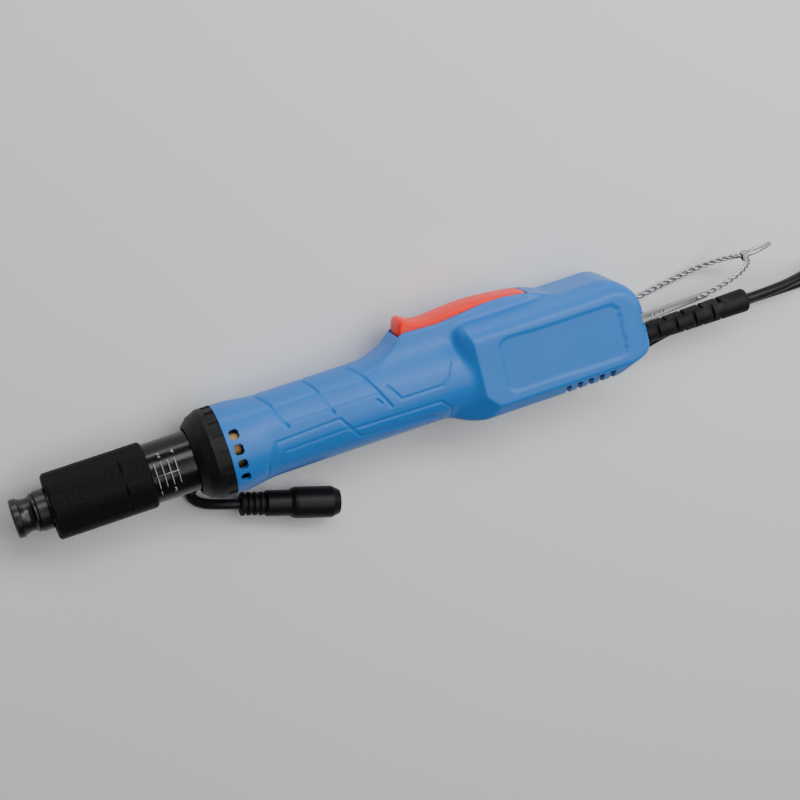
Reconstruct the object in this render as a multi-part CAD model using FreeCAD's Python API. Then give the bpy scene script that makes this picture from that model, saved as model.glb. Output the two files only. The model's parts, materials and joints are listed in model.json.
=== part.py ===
"""Electric torque screwdriver with a start lever, a torque sleeve and a low-voltage lead.

The frame: x runs from the bit socket's mouth, x = 0, along the output axis to the tail.
y points to the side of the start lever. z points up, away from the bench the tool lies on.
All sizes are in millimetres.
"""
import FreeCAD, Part
import math
import os

V = FreeCAD.Vector
X_AXIS = V(1, 0, 0)
Y_AXIS = V(0, 1, 0)
Z_AXIS = V(0, 0, 1)

# Clearances shared by every fit
PRESS_FIT = 0.02        # radial, between pieces that stay put
RUNNING_FIT = 0.05      # radial, between a shaft and what it turns in
FREE_GAP = 0.3          # between pieces that pass each other

# Chuck
COLLAR_LENGTH = 15.5
COLLAR_R = 8.8
COLLAR_FLANGE_R = 8.5
COLLAR_WAIST_R = 7.15
BIT_HEX = 6.35          # across the flats of the bit's shank
BIT_CLEARANCE = 0.1     # across the flats
BIT_DEPTH = 26.0
LOCK_BALL_R = 1.25
LOCK_BALL_X = 6.0

# Output spindle
SPINDLE_MOUTH_X = 0.8
SPINDLE_NOSE_R = 5.3
SPINDLE_R = 6.8
SPINDLE_STEP_X = 17.2
SPINDLE_TAIL_R = 4.0

# Torque sleeve and graduated barrel
SLEEVE_X = 15.8
SLEEVE_LENGTH = 32.0
REAR_COLLAR_LENGTH = 11.7
SLEEVE_R = 14.8
SLEEVE_FLAT = 14.25     # axis to each of the eight flats
SLEEVE_FLATS = 8
SLEEVE_WALL_X = 4.2
SLEEVE_TURNS = 4.0
THREAD_PITCH = 3.0
BARREL_R = 13.2
BARREL_BORE_R = 11.6
THRUST_DISC = 2.7
THRUST_SKIRT = 14.0
THRUST_SKIRT_WALL = 1.0

# Clutch
CLUTCH_SPRING_WIRE = 2.0
CLUTCH_SPRING_TURNS = 7.0
CLUTCH_PLATE_X = 77.4
CLUTCH_PLATE_T = 4.0
CLUTCH_R = 11.2
CLUTCH_BALL_R = 2.0
CLUTCH_BALLS = 6
CLUTCH_BALL_CIRCLE = 8.95
CLUTCH_SPLIT = 2.4      # between the two faces that hold the balls

# Planetary gears
MODULE = 0.6
SUN_TEETH = 12
PLANET_TEETH = 15
PLANETS = 3
PRESSURE_ANGLE = 25.0
ADDENDUM = 0.8          # in modules
DEDENDUM = 1.05         # in modules
BACKLASH = 0.1
GEAR_WIDTH = 8.0
CARRIER_X = 94.6
CARRIER_T = 3.0
CARRIER_R = 11.0
PLANET_PIN_R = 1.5
SPINDLE_BEARING_T = 5.0
CARRIER_HUB_R = 5.0

# Motor
MOTOR_X = 109.0
MOTOR_LENGTH = 53.0
MOTOR_R = 15.5
MOTOR_WALL = 1.2
SHAFT_R = 1.6
MOTOR_BEARING_R = 5.0
MOTOR_BEARING_T = 4.0
MAGNET_T = 2.8
MAGNET_X = MOTOR_X + 9.0
MAGNET_LENGTH = MOTOR_LENGTH - 21.0
AIR_GAP = 0.48          # between the magnets and the turning core
ARMATURE_R = MOTOR_R - MOTOR_WALL - PRESS_FIT - MAGNET_T - AIR_GAP
ARMATURE_X = MAGNET_X + 2.0
ARMATURE_LENGTH = MAGNET_LENGTH - 4.0
ARMATURE_SLOTS = 7
COMMUTATOR_R = 4.5
COMMUTATOR_X = MOTOR_X + MOTOR_LENGTH - 8.0
COMMUTATOR_LENGTH = 7.0

# Nose ring
RING_X = 78.8
RING_REAR_X = 92.6
RING_R = 20.0
RING_FRONT_R = 15.8
RING_SHOULDER_X = 85.5
RING_LUGS = 18
RING_NOTCH_DEPTH = 0.6
RING_NOTCH_X = 88.3

# Housing
WALL = 2.2
GRIP_R = MOTOR_R + FREE_GAP + WALL
GEARBOX_BORE_R = 15.8   # seats the ring gear and the barrel's flange
GRIP_END_X = 197.0
NOSE_R = 19.7
NOSE_FLAT_END_X = 98.6
NOSE_TAPER_END_X = 112.0
TOOL_LENGTH = 285.0
REAR_HALF_WIDTH = 20.0
REAR_TOP = 22.0
REAR_BELLY = 22.0
REAR_CORNER_R = 9.5
REAR_X = 204.5
FLARE_X = 192.0
FLARE_OVERLAP = 12.0
TAIL_TOP_R = 17.0
TAIL_CHAMFER_X = 16.0
TAIL_CHAMFER_Y = 9.5
VENT_ANGLES = (-30.0, -10.0, 10.0, 30.0)
VENT_X = 96.6
VENT_LENGTH = 3.1
VENT_WIDTH = 3.4
SLOT_VENTS = 5
SLOT_VENT_X = 242.5
SLOT_VENT_PITCH = 5.3
SLOT_VENT_WIDTH = 2.4
BOSS_R = 3.2
SCREW_R = 1.3
SCREW_HEAD_R = 2.8
SCREW_HEAD_T = 1.8

# Shallow relief in the housing's sides
GROOVE_DEPTH = 0.6
GROOVE_WIDTH = 1.5
BAND_DEPTH = 0.35
PANEL_RECESS = 0.8
PANEL_FRONT_X = 217.5
PANEL_REAR_X = 277.0
PANEL_HALF = 12.0
PANEL_CORNER_R = 4.0

# Start lever and its bed
BED_FRONT_X = 171.0
BED_RISE_X = 179.6
BED_END_X = 242.6
BED_TOP = 27.3
BED_HALF = 8.5
LEVER_HALF = 5.0
LEVER_TIP_X = 180.6
LEVER_PIVOT_X = 234.5
LEVER_PIVOT_Y = 21.0
LEVER_PIN_R = 1.5
SLOT_FLOOR = 17.6
PLUNGER_X = 207.0
PLUNGER_R = 2.0
PLUNGER_FOOT = 12.6
SWITCH_X = 198.0
SWITCH_LENGTH = 18.0
SWITCH_HALF = 3.2
SWITCH_FLOOR = 6.0
SWITCH_TOP = 15.2
SHELF_T = 1.8

# Electronics
BOARD_X = 216.5
BOARD_LENGTH = 46.0
BOARD_T = 1.6
BOARD_Y = -6.0

# Tail
POCKET_DEPTH = 3.2
POCKET_COVER = 0.8
POCKET_X = 270.4
PIVOT_X = 279.0
PIVOT_Y = 1.0
PIVOT_R = 1.6
BAIL_WIRE_R = 1.3
BAIL_PLATE_T = 1.8
BAIL_TILT = 6.6         # degrees towards the lever, as it lies at rest
BAIL_ARM = 40.0
BAIL_LENGTH = 80.0
BAIL_EYE_HALF = 1.9
KNOB_Y = 1.0
KNOB_HALF_Y = 2.9
KNOB_HALF_Z = 2.2
KNOB_TRAVEL = 2.2
RELIEF_Y = -11.2
RELIEF_R = 4.5
RELIEF_END_R = 5.4
RELIEF_END_X = 340.0
RELIEF_FLANGE_R = 5.3
RELIEF_FLANGE_T = 2.6
RELIEF_NECK = 10.8
RELIEF_CORE_R = 3.1
RELIEF_PITCH = 4.5
RELIEF_SLOT = 1.7
RELIEF_HEAD = 8.0

# Lead
LEAD_D = 4.7
LEAD_R = LEAD_D / 2
LEAD_INNER = 9.0
TABLE_Z = -REAR_HALF_WIDTH
LEAD_Z = TABLE_Z + LEAD_R
COIL_MEAN_R = 25.0
COIL_CENTRE_X = 448.0
COIL_CENTRE_Y = 15.05
COIL_ACROSS = 4         # turns side by side
COIL_ROWS = 2

# Lead's connector
PLUG_X = 94.9
PLUG_Y = -30.0
PLUG_ANGLE = -17.8      # degrees from the output axis
PLUG_R = 7.0
PLUG_Z = TABLE_Z + PLUG_R
BOOT_R = 5.15
BOOT_LENGTH = 11.0
PLUG_BODY_R = 5.75
PLUG_BODY_LENGTH = 11.0
PLUG_LENGTH = 44.5
PLUG_CHAMFER = 3.5
PLUG_BORE_R = 4.6
PLUG_BORE_DEPTH = 9.0


def save(shape, node):
    """Write one node as its own file."""
    shape.exportStep("parts/" + node + ".step")
    print(node, len(shape.Solids), "solids", round(shape.Volume, 1))


def rod(radius, x0, x1, y=0.0, z=0.0):
    """A cylinder along the tool's axis, or beside it."""
    return Part.makeCylinder(radius, x1 - x0, V(x0, y, z), X_AXIS)


def tube(outer, inner, x0, x1, y=0.0, z=0.0):
    return rod(outer, x0, x1, y, z).cut(rod(inner, x0 - 1, x1 + 1, y, z))


def block(x0, x1, y0, y1, z0, z1):
    return Part.makeBox(x1 - x0, y1 - y0, z1 - z0, V(x0, y0, z0))


def turned(profile):
    """Revolve (x, radius) corners about the output axis."""
    corners = [V(x, r, 0) for x, r in profile]
    face = Part.Face(Part.makePolygon(corners + corners[:1]))
    return face.revolve(V(0, 0, 0), X_AXIS, 360)


def side_prism(corners, z0, z1):
    """Extrude an outline drawn in the side view, x against y."""
    points = [V(x, y, z0) for x, y in corners]
    face = Part.Face(Part.makePolygon(points + points[:1]))
    return face.extrude(V(0, 0, z1 - z0))


def mirrored(shape):
    """The same shape on the tool's other side."""
    return shape.mirror(V(0, 0, 0), Z_AXIS)


def about_axis(shape, angle):
    copy = shape.copy()
    copy.rotate(V(0, 0, 0), X_AXIS, angle)
    return copy


def fused(shapes):
    return shapes[0].multiFuse(shapes[1:]) if len(shapes) > 1 else shapes[0]


def rounded_section(x, y_low, y_high, half_z, radius):
    """A rounded rectangle square to the axis, as a wire of lines and arcs."""
    k = radius * (1 - math.sqrt(0.5))
    edges = []
    y0, y1 = y_low, y_high
    z0, z1 = -half_z, half_z
    lines = [((y0 + radius, z0), (y1 - radius, z0)), ((y1, z0 + radius), (y1, z1 - radius)),
             ((y1 - radius, z1), (y0 + radius, z1)), ((y0, z1 - radius), (y0, z0 + radius))]
    middles = [(y1 - k, z0 + k), (y1 - k, z1 - k), (y0 + k, z1 - k), (y0 + k, z0 + k)]
    for i, (start, end) in enumerate(lines):
        following = lines[(i + 1) % 4][0]
        edges.append(Part.LineSegment(V(x, *start), V(x, *end)).toShape())
        edges.append(Part.Arc(V(x, *end), V(x, *middles[i]), V(x, *following)).toShape())
    return Part.Wire(edges)


def rounded_outline(x0, x1, y0, y1, radius, z):
    """A rounded rectangle in the side view, as a face at height z."""
    k = radius * (1 - math.sqrt(0.5))
    lines = [((x0 + radius, y0), (x1 - radius, y0)), ((x1, y0 + radius), (x1, y1 - radius)),
             ((x1 - radius, y1), (x0 + radius, y1)), ((x0, y1 - radius), (x0, y0 + radius))]
    middles = [(x1 - k, y0 + k), (x1 - k, y1 - k), (x0 + k, y1 - k), (x0 + k, y0 + k)]
    edges = []
    for i, (start, end) in enumerate(lines):
        following = lines[(i + 1) % 4][0]
        edges.append(Part.LineSegment(V(*start, z), V(*end, z)).toShape())
        edges.append(Part.Arc(V(*end, z), V(*middles[i], z), V(*following, z)).toShape())
    return Part.Face(Part.Wire(edges))


def rounded_path(points, label):
    """Straight runs joined by tangent arcs, each as large as its two runs allow."""
    share = 0.45
    edges = []
    start = points[0]
    radii = []
    for before, corner, after in zip(points, points[1:], points[2:]):
        first = corner - before
        second = after - corner
        run = min(first.Length, second.Length)
        back = V(first).normalize()
        ahead = V(second).normalize()
        half_turn = back.getAngle(ahead) / 2
        reach = share * run
        radius = reach / math.tan(half_turn)
        radii.append(round(radius, 1))
        arc_start = corner - back * reach
        arc_end = corner + ahead * reach
        inward = V(ahead - back).normalize()
        centre_gap = radius / math.cos(half_turn)
        middle = corner + inward * (centre_gap - radius)
        edges.append(Part.LineSegment(start, arc_start).toShape())
        edges.append(Part.Arc(arc_start, middle, arc_end).toShape())
        start = arc_end
    edges.append(Part.LineSegment(start, points[-1]).toShape())
    wire = Part.Wire(edges)
    print(label, "length", round(wire.Length, 1), "radii", radii)
    return wire


def swept(points, radius, label):
    """A round tube along a path: a cylinder for each run and a piece of a torus for each arc."""
    wire = rounded_path(points, label)
    pieces = []
    for edge in wire.OrderedEdges:
        at = edge.valueAt(edge.FirstParameter)
        heading = edge.tangentAt(edge.FirstParameter)
        if isinstance(edge.Curve, Part.Circle):
            disc = Part.Face(Part.Wire(Part.makeCircle(radius, at, heading)))
            turn = math.degrees(edge.LastParameter - edge.FirstParameter)
            pieces.append(disc.revolve(edge.Curve.Center, edge.Curve.Axis, turn))
        else:
            pieces.append(Part.makeCylinder(radius, edge.Length, at, heading))
    solid = fused(pieces)
    print(label, "volume share", round(solid.Volume / (math.pi * radius ** 2 * wire.Length), 4))
    return solid


# Housing

def housing_front(inset):
    """The round nose and grip, or the same form set in by a wall."""
    tail = FLARE_X + FLARE_OVERLAP
    return turned([(RING_REAR_X, 0), (RING_REAR_X, NOSE_R - inset),
                   (NOSE_FLAT_END_X, NOSE_R - inset), (NOSE_TAPER_END_X, GRIP_R - inset),
                   (tail, GRIP_R - inset), (tail, 0)])


def tail_outline(inset):
    """The rear body's side view: a round corner above, a bevel below."""
    end = TOOL_LENGTH - inset
    top = REAR_TOP - inset
    belly = -REAR_BELLY + inset
    radius = TAIL_TOP_R - inset
    k = radius * (1 - math.sqrt(0.5))
    z = -REAR_HALF_WIDTH - 5
    points = [V(FLARE_X, top, z), V(end - radius, top, z), V(end - k, top - k, z),
              V(end, top - radius, z), V(end, belly + TAIL_CHAMFER_Y, z),
              V(end - TAIL_CHAMFER_X, belly, z), V(FLARE_X, belly, z)]
    edges = [Part.LineSegment(points[0], points[1]).toShape(),
             Part.Arc(points[1], points[2], points[3]).toShape()]
    for a, b in zip(points[3:], points[4:] + points[:1]):
        edges.append(Part.LineSegment(a, b).toShape())
    face = Part.Face(Part.Wire(edges))
    return face.extrude(V(0, 0, 2 * (REAR_HALF_WIDTH + 5)))


def plan_outline(inset):
    """The rear body seen from the lever side, with its two tail corners rounded."""
    corner = 4.0
    end = TOOL_LENGTH - inset
    half = REAR_HALF_WIDTH - inset
    radius = corner - inset
    k = radius * (1 - math.sqrt(0.5))
    y = -REAR_BELLY - 5
    lower = [V(FLARE_X, y, -half), V(end - radius, y, -half), V(end - k, y, -half + k),
             V(end, y, -half + radius)]
    upper = [V(p.x, y, -p.z) for p in reversed(lower)]
    edges = [Part.LineSegment(lower[0], lower[1]).toShape(),
             Part.Arc(lower[1], lower[2], lower[3]).toShape(),
             Part.LineSegment(lower[3], upper[0]).toShape(),
             Part.Arc(upper[0], upper[1], upper[2]).toShape(),
             Part.LineSegment(upper[2], upper[3]).toShape(),
             Part.LineSegment(upper[3], lower[0]).toShape()]
    face = Part.Face(Part.Wire(edges))
    return face.extrude(V(0, REAR_BELLY + REAR_TOP + 10, 0))


def housing_rear(inset):
    """The wide rear body, which swells out of the grip, lower side first."""
    full = rounded_section(REAR_X, -REAR_BELLY + inset, REAR_TOP - inset, REAR_HALF_WIDTH - inset,
                           REAR_CORNER_R - inset)
    small = rounded_section(FLARE_X, -GRIP_R + inset, GRIP_R - 0.5 - inset, GRIP_R - 3 - inset,
                            GRIP_R - 4 - inset)
    flare = Part.makeLoft([small, full], True, True)
    prism = Part.Face(full).extrude(V(TOOL_LENGTH - REAR_X, 0, 0))
    return flare.fuse(prism.common(tail_outline(inset)).common(plan_outline(inset)))


def lever_bed():
    """The raised bed along the top that the start lever sits in."""
    side = side_prism([(BED_FRONT_X, 12.0), (BED_FRONT_X, 17.4), (BED_FRONT_X + 4, 18.8),
                       (BED_RISE_X - 3, BED_TOP - 2.6), (BED_RISE_X, BED_TOP - 0.8),
                       (BED_RISE_X + 4, BED_TOP), (BED_END_X - 20, BED_TOP),
                       (BED_END_X - 3, BED_TOP - 2.8), (BED_END_X, BED_TOP - 5.3), (BED_END_X, 12.0)],
                      -BED_HALF, BED_HALF)
    half = BED_HALF
    bevel = 1.6
    corners = [(12.0, -half), (BED_TOP - bevel, -half), (BED_TOP, -half + bevel), (BED_TOP, half - bevel),
               (BED_TOP - bevel, half), (12.0, half)]
    points = [V(BED_FRONT_X, y, z) for y, z in corners]
    across = Part.Face(Part.makePolygon(points + points[:1])).extrude(V(BED_END_X - BED_FRONT_X, 0, 0))
    return side.common(across)


def housing_cavity():
    """The hollow of the housing, with the tail narrowed for the bail's pockets."""
    front = housing_front(WALL)
    front = front.fuse(rod(GEARBOX_BORE_R, RING_REAR_X - 1, MOTOR_X))
    front = front.fuse(rod(GRIP_R - WALL, MOTOR_X, FLARE_X))
    rear = housing_rear(WALL)
    narrow = REAR_HALF_WIDTH - POCKET_DEPTH - WALL
    cheek = block(POCKET_X - WALL, TOOL_LENGTH, -REAR_BELLY, REAR_TOP, narrow, REAR_HALF_WIDTH)
    rear = rear.cut(cheek).cut(mirrored(cheek))
    under_bed = block(BED_FRONT_X, BED_END_X, SLOT_FLOOR - WALL + 0.2, BED_TOP, -BED_HALF, BED_HALF)
    return front.fuse(rear).cut(under_bed)


def boss_places():
    """Where the housing's screws go, as (x, y)."""
    behind_motor = 180.0
    bite = 0.6
    low = -REAR_BELLY + WALL + BOSS_R - bite
    front_of_pocket = POCKET_X - WALL - BOSS_R - bite
    return [(behind_motor, 8.5), (behind_motor, -8.5), (222.0, 11.5), (226.0, low),
            (front_of_pocket, 15.2), (front_of_pocket + 1.4, low)]


def screw_depth(x, y):
    """How far from the mid plane a screw's head seats."""
    if x < FLARE_X:
        return math.sqrt(GRIP_R ** 2 - y ** 2) - 3.6
    return REAR_HALF_WIDTH - 5.0


def grip_relief():
    """Grooves, a band and a lower panel, as one cutter for the side that faces up."""
    skin = rod(GRIP_R + 1, NOSE_TAPER_END_X - 6, GRIP_END_X)
    shallow = skin.cut(rod(GRIP_R - BAND_DEPTH, NOSE_TAPER_END_X - 6, GRIP_END_X))
    deep = skin.cut(rod(GRIP_R - GROOVE_DEPTH, NOSE_TAPER_END_X - 6, GRIP_END_X))
    grooves = []
    for x_top, x_low, y_low in ((112.5, 122.0, 5.6), (134.0, 143.5, 5.6), (155.0, 168.7, 0.0)):
        w = GROOVE_WIDTH
        grooves.append(side_prism([(x_top, 17.9), (x_low, y_low), (x_low + w, y_low), (x_top + w, 17.9)],
                                  0.5, GRIP_R + 2))
    band = side_prism([(117.0, 14.6), (122.6, 7.3), (163.0, 7.3), (158.6, 14.6)], 0.5, GRIP_R + 2)
    panel = side_prism([(115.7, 1.9), (146.0, 1.9), (151.0, -9.5), (183.0, -9.5), (186.0, -15.6),
                        (110.5, -15.6), (110.5, -6.4)], 0.5, GRIP_R + 2)
    return fused([deep.common(g) for g in grooves] + [shallow.common(band), shallow.common(panel)])


def panel_recess():
    """The sunk panel on the rear body's side."""
    face = rounded_outline(PANEL_FRONT_X, PANEL_REAR_X, -PANEL_HALF, PANEL_HALF, PANEL_CORNER_R,
                           REAR_HALF_WIDTH - PANEL_RECESS)
    return face.extrude(V(0, 0, PANEL_RECESS + 1))


def bail_pocket():
    """The slot in the tail where the bail's arm swings."""
    reach = PIVOT_X - POCKET_X
    low = REAR_HALF_WIDTH - POCKET_DEPTH
    high = REAR_HALF_WIDTH - POCKET_COVER
    disc = Part.makeCylinder(reach, high - low, V(PIVOT_X, PIVOT_Y, low), Z_AXIS)
    mouth = block(PIVOT_X, TOOL_LENGTH + 1, PIVOT_Y - reach, PIVOT_Y + reach, low, high)
    return disc.fuse(mouth)


def slot_vents():
    """Slots through the lower edge of the rear body."""
    cuts = []
    for i in range(SLOT_VENTS):
        x = SLOT_VENT_X + i * SLOT_VENT_PITCH
        cut = block(x, x + SLOT_VENT_WIDTH, -REAR_BELLY - 1, -REAR_BELLY + 4.4, 6.0, REAR_HALF_WIDTH)
        cuts.append(cut)
        cuts.append(mirrored(cut))
    return fused(cuts)


def nose_vents():
    """Windows round the housing's front end."""
    cuts = []
    half = VENT_WIDTH / 2
    for angle in VENT_ANGLES:
        window = block(VENT_X - VENT_LENGTH / 2, VENT_X + VENT_LENGTH / 2, -half, half,
                       GRIP_R - WALL - 1, NOSE_R + 1)
        cuts.append(about_axis(window, angle))
        cuts.append(mirrored(cuts[-1]))
    return fused(cuts)


def housing():
    """Both halves of the housing, split at the mid plane."""
    outer = fused([housing_front(0), housing_rear(0), lever_bed()])
    cavity = housing_cavity()
    body = outer.cut(cavity)
    shelf = block(SWITCH_X - 2, SWITCH_X + SWITCH_LENGTH + 2, SWITCH_FLOOR - SHELF_T, SWITCH_FLOOR,
                  -REAR_HALF_WIDTH, REAR_HALF_WIDTH)
    stop_x = MOTOR_X + MOTOR_LENGTH + FREE_GAP
    motor_stop = tube(GRIP_R, MOTOR_R - MOTOR_WALL + FREE_GAP, stop_x, stop_x + 2.5)
    relief_seat = block(relief_flange_x() + RELIEF_FLANGE_T + PRESS_FIT, TOOL_LENGTH - WALL, -REAR_BELLY,
                        RELIEF_Y + RELIEF_FLANGE_R, -REAR_HALF_WIDTH, REAR_HALF_WIDTH)
    bosses = [Part.makeCylinder(BOSS_R, 2 * REAR_HALF_WIDTH, V(x, y, -REAR_HALF_WIDTH), Z_AXIS)
              for x, y in boss_places()]
    inside = fused([shelf, motor_stop, relief_seat] + bosses).common(cavity)
    body = body.fuse(inside)

    lever_slot = block(LEVER_TIP_X - 2.5, BED_END_X + 1, SLOT_FLOOR, BED_TOP + 1,
                       -LEVER_HALF - FREE_GAP, LEVER_HALF + FREE_GAP)
    lever_slot = lever_slot.cut(block(LEVER_PIVOT_X + 5.6, BED_END_X + 2, 0, BED_TOP + 2, -9, 9))
    plunger_hole = Part.makeCylinder(PLUNGER_R + FREE_GAP, 12, V(PLUNGER_X, SLOT_FLOOR - 6, 0), Y_AXIS)
    pin_hole = Part.makeCylinder(LEVER_PIN_R + PRESS_FIT, 2 * BED_HALF + 2,
                                 V(LEVER_PIVOT_X, LEVER_PIVOT_Y, -BED_HALF - 1), Z_AXIS)
    knob_window = block(TOOL_LENGTH - WALL - 1, TOOL_LENGTH + 1, KNOB_Y - KNOB_HALF_Y - FREE_GAP,
                        KNOB_Y + KNOB_HALF_Y + FREE_GAP, -KNOB_HALF_Z - KNOB_TRAVEL - FREE_GAP,
                        KNOB_HALF_Z + KNOB_TRAVEL + FREE_GAP)
    relief_hole = rod(RELIEF_R + PRESS_FIT, relief_flange_x(), TOOL_LENGTH + 1, RELIEF_Y)
    pivot_holes = Part.makeCylinder(PIVOT_R - PRESS_FIT, 2 * REAR_HALF_WIDTH,
                                    V(PIVOT_X, PIVOT_Y, -REAR_HALF_WIDTH), Z_AXIS)
    screw_holes = []
    for x, y in boss_places():
        depth = screw_depth(x, y)
        screw_holes.append(Part.makeCylinder(SCREW_R + PRESS_FIT, depth + 9, V(x, y, -depth), Z_AXIS))
        screw_holes.append(Part.makeCylinder(SCREW_HEAD_R + FREE_GAP, REAR_HALF_WIDTH, V(x, y, -depth), -Z_AXIS))
    relief = grip_relief()
    cuts = [lever_slot, plunger_hole, pin_hole, knob_window, relief_hole, pivot_holes,
            nose_vents(), slot_vents(), relief, mirrored(relief), panel_recess(), mirrored(panel_recess()),
            bail_pocket(), mirrored(bail_pocket())] + screw_holes
    body = body.cut(fused(cuts))
    far = 400
    left = body.common(block(0, far, -60, 60, 0, 60))
    right = body.common(block(0, far, -60, 60, -60, 0))
    return left, right


def shell_screws():
    """Six self-tapping screws, driven in from the side that lies down."""
    screws = []
    for x, y in boss_places():
        depth = screw_depth(x, y)
        shank = Part.makeCylinder(SCREW_R, depth + 8, V(x, y, -depth), Z_AXIS)
        head = Part.makeCylinder(SCREW_HEAD_R, SCREW_HEAD_T, V(x, y, -depth), -Z_AXIS)
        drive = block(x - 1.6, x + 1.6, y - 0.4, y + 0.4, -depth - SCREW_HEAD_T, -depth - SCREW_HEAD_T + 0.9)
        cross = block(x - 0.4, x + 0.4, y - 1.6, y + 1.6, -depth - SCREW_HEAD_T, -depth - SCREW_HEAD_T + 0.9)
        screws.append(shank.fuse(head).cut(drive).cut(cross))
    return Part.makeCompound(screws)


def nose_ring():
    """The ring that clamps the housing's front end, with a notched rear rim."""
    rim = RING_R - 0.3
    body = turned([(RING_X, BARREL_R + 0.8), (RING_X, RING_FRONT_R - 0.6), (RING_X + 0.6, RING_FRONT_R),
                   (RING_X + 3.0, RING_FRONT_R + 2.3), (RING_SHOULDER_X, rim - 0.1), (RING_SHOULDER_X + 0.7, RING_R),
                   (RING_REAR_X - FREE_GAP / 3, RING_R), (RING_REAR_X - FREE_GAP / 3, BARREL_R + PRESS_FIT),
                   (RING_X + 2.0, BARREL_R + PRESS_FIT), (RING_X + 2.0, BARREL_R + 0.8)])
    notches = []
    width = 2 * math.pi * RING_R / RING_LUGS * 0.42
    for i in range(RING_LUGS):
        notch = block(RING_NOTCH_X, RING_REAR_X, -width / 2, width / 2, -RING_R - 1, -RING_R + RING_NOTCH_DEPTH)
        notches.append(about_axis(notch, (i + 0.5) * 360 / RING_LUGS))
    return body.cut(fused(notches))


# Output side

def barrel_x():
    """The barrel's mouth, which the sleeve's front wall reaches when it is screwed right in."""
    return SLEEVE_X + SLEEVE_WALL_X + SLEEVE_TURNS * THREAD_PITCH + FREE_GAP


def barrel():
    """The fixed tube that the torque sleeve screws along."""
    flange_x = RING_REAR_X + FREE_GAP
    flange_end = CARRIER_X - FREE_GAP
    mouth_x = barrel_x()
    flange_r = GEARBOX_BORE_R - RUNNING_FIT
    return turned([(mouth_x, BARREL_BORE_R), (mouth_x, BARREL_R - 0.8), (mouth_x + 0.8, BARREL_R),
                   (flange_x, BARREL_R), (flange_x, flange_r), (flange_end, flange_r), (flange_end, BARREL_BORE_R)])


def sleeve_section(x0, x1, bevel_front, bevel_rear, bore):
    """Eight flats with rounded edges between them, bevelled at both ends."""
    across = SLEEVE_FLAT / math.cos(math.pi / SLEEVE_FLATS)
    corners = []
    for i in range(SLEEVE_FLATS):
        angle = 2 * math.pi * (i + 0.5) / SLEEVE_FLATS + math.pi / SLEEVE_FLATS
        corners.append(V(x0, across * math.cos(angle), across * math.sin(angle)))
    flats = Part.Face(Part.makePolygon(corners + corners[:1])).extrude(V(x1 - x0, 0, 0))
    round_part = turned([(x0, bore), (x0, SLEEVE_R - bevel_front), (x0 + bevel_front, SLEEVE_R),
                         (x1 - bevel_rear, SLEEVE_R), (x1, SLEEVE_R - bevel_rear), (x1, bore)])
    return flats.common(round_part)


def torque_sleeve():
    end = SLEEVE_X + SLEEVE_LENGTH
    mouth = COLLAR_R + FREE_GAP
    body = sleeve_section(SLEEVE_X, end, 1.2, 0.5, mouth)
    return body.cut(rod(BARREL_R + RUNNING_FIT, SLEEVE_X + SLEEVE_WALL_X, end + 1))


def sleeve_rear_collar():
    start = SLEEVE_X + SLEEVE_LENGTH
    return sleeve_section(start, start + REAR_COLLAR_LENGTH, 0.5, 1.0, BARREL_R + RUNNING_FIT)


def thrust_x():
    return SLEEVE_X + SLEEVE_WALL_X + FREE_GAP


def thrust_ring():
    """The cup that the sleeve pushes against the clutch spring."""
    x0 = thrust_x()
    x1 = x0 + THRUST_DISC
    outer = BARREL_BORE_R - RUNNING_FIT
    return turned([(x0, SPINDLE_R + RUNNING_FIT), (x0, outer), (x1 + THRUST_SKIRT, outer),
                   (x1 + THRUST_SKIRT, outer - THRUST_SKIRT_WALL), (x1, outer - THRUST_SKIRT_WALL),
                   (x1, SPINDLE_R + RUNNING_FIT)])


def coil_spring(x0, x1, outer_r, wire, turns, direction, base):
    """A spring of square wire along a direction, from x0 to x1 on that line."""
    length = x1 - x0 - wire
    helix = Part.makeHelix(length / turns, length, outer_r - wire / 2)
    half = wire / 2
    at = outer_r - half
    square = Part.makePolygon([V(at - half, 0, -half), V(at + half, 0, -half), V(at + half, 0, half),
                               V(at - half, 0, half), V(at - half, 0, -half)])
    solid = Part.Wire(helix).makePipeShell([square], True, True)
    solid.translate(V(0, 0, half))
    turn = FreeCAD.Rotation(Z_AXIS, direction)
    solid.Placement = FreeCAD.Placement(base + direction * x0, turn).multiply(solid.Placement)
    return solid


def clutch_spring():
    start = thrust_x() + THRUST_DISC + 0.1
    outer = BARREL_BORE_R - RUNNING_FIT - THRUST_SKIRT_WALL - FREE_GAP
    return coil_spring(start, CLUTCH_PLATE_X - 0.1, outer, CLUTCH_SPRING_WIRE, CLUTCH_SPRING_TURNS,
                       X_AXIS, V(0, 0, 0))


def hexagon(across_flats, x0, x1):
    radius = across_flats / math.sqrt(3)
    corners = [V(x0, radius * math.cos(math.radians(60 * i)), radius * math.sin(math.radians(60 * i)))
               for i in range(6)]
    return Part.Face(Part.makePolygon(corners + corners[:1])).extrude(V(x1 - x0, 0, 0))


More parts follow.
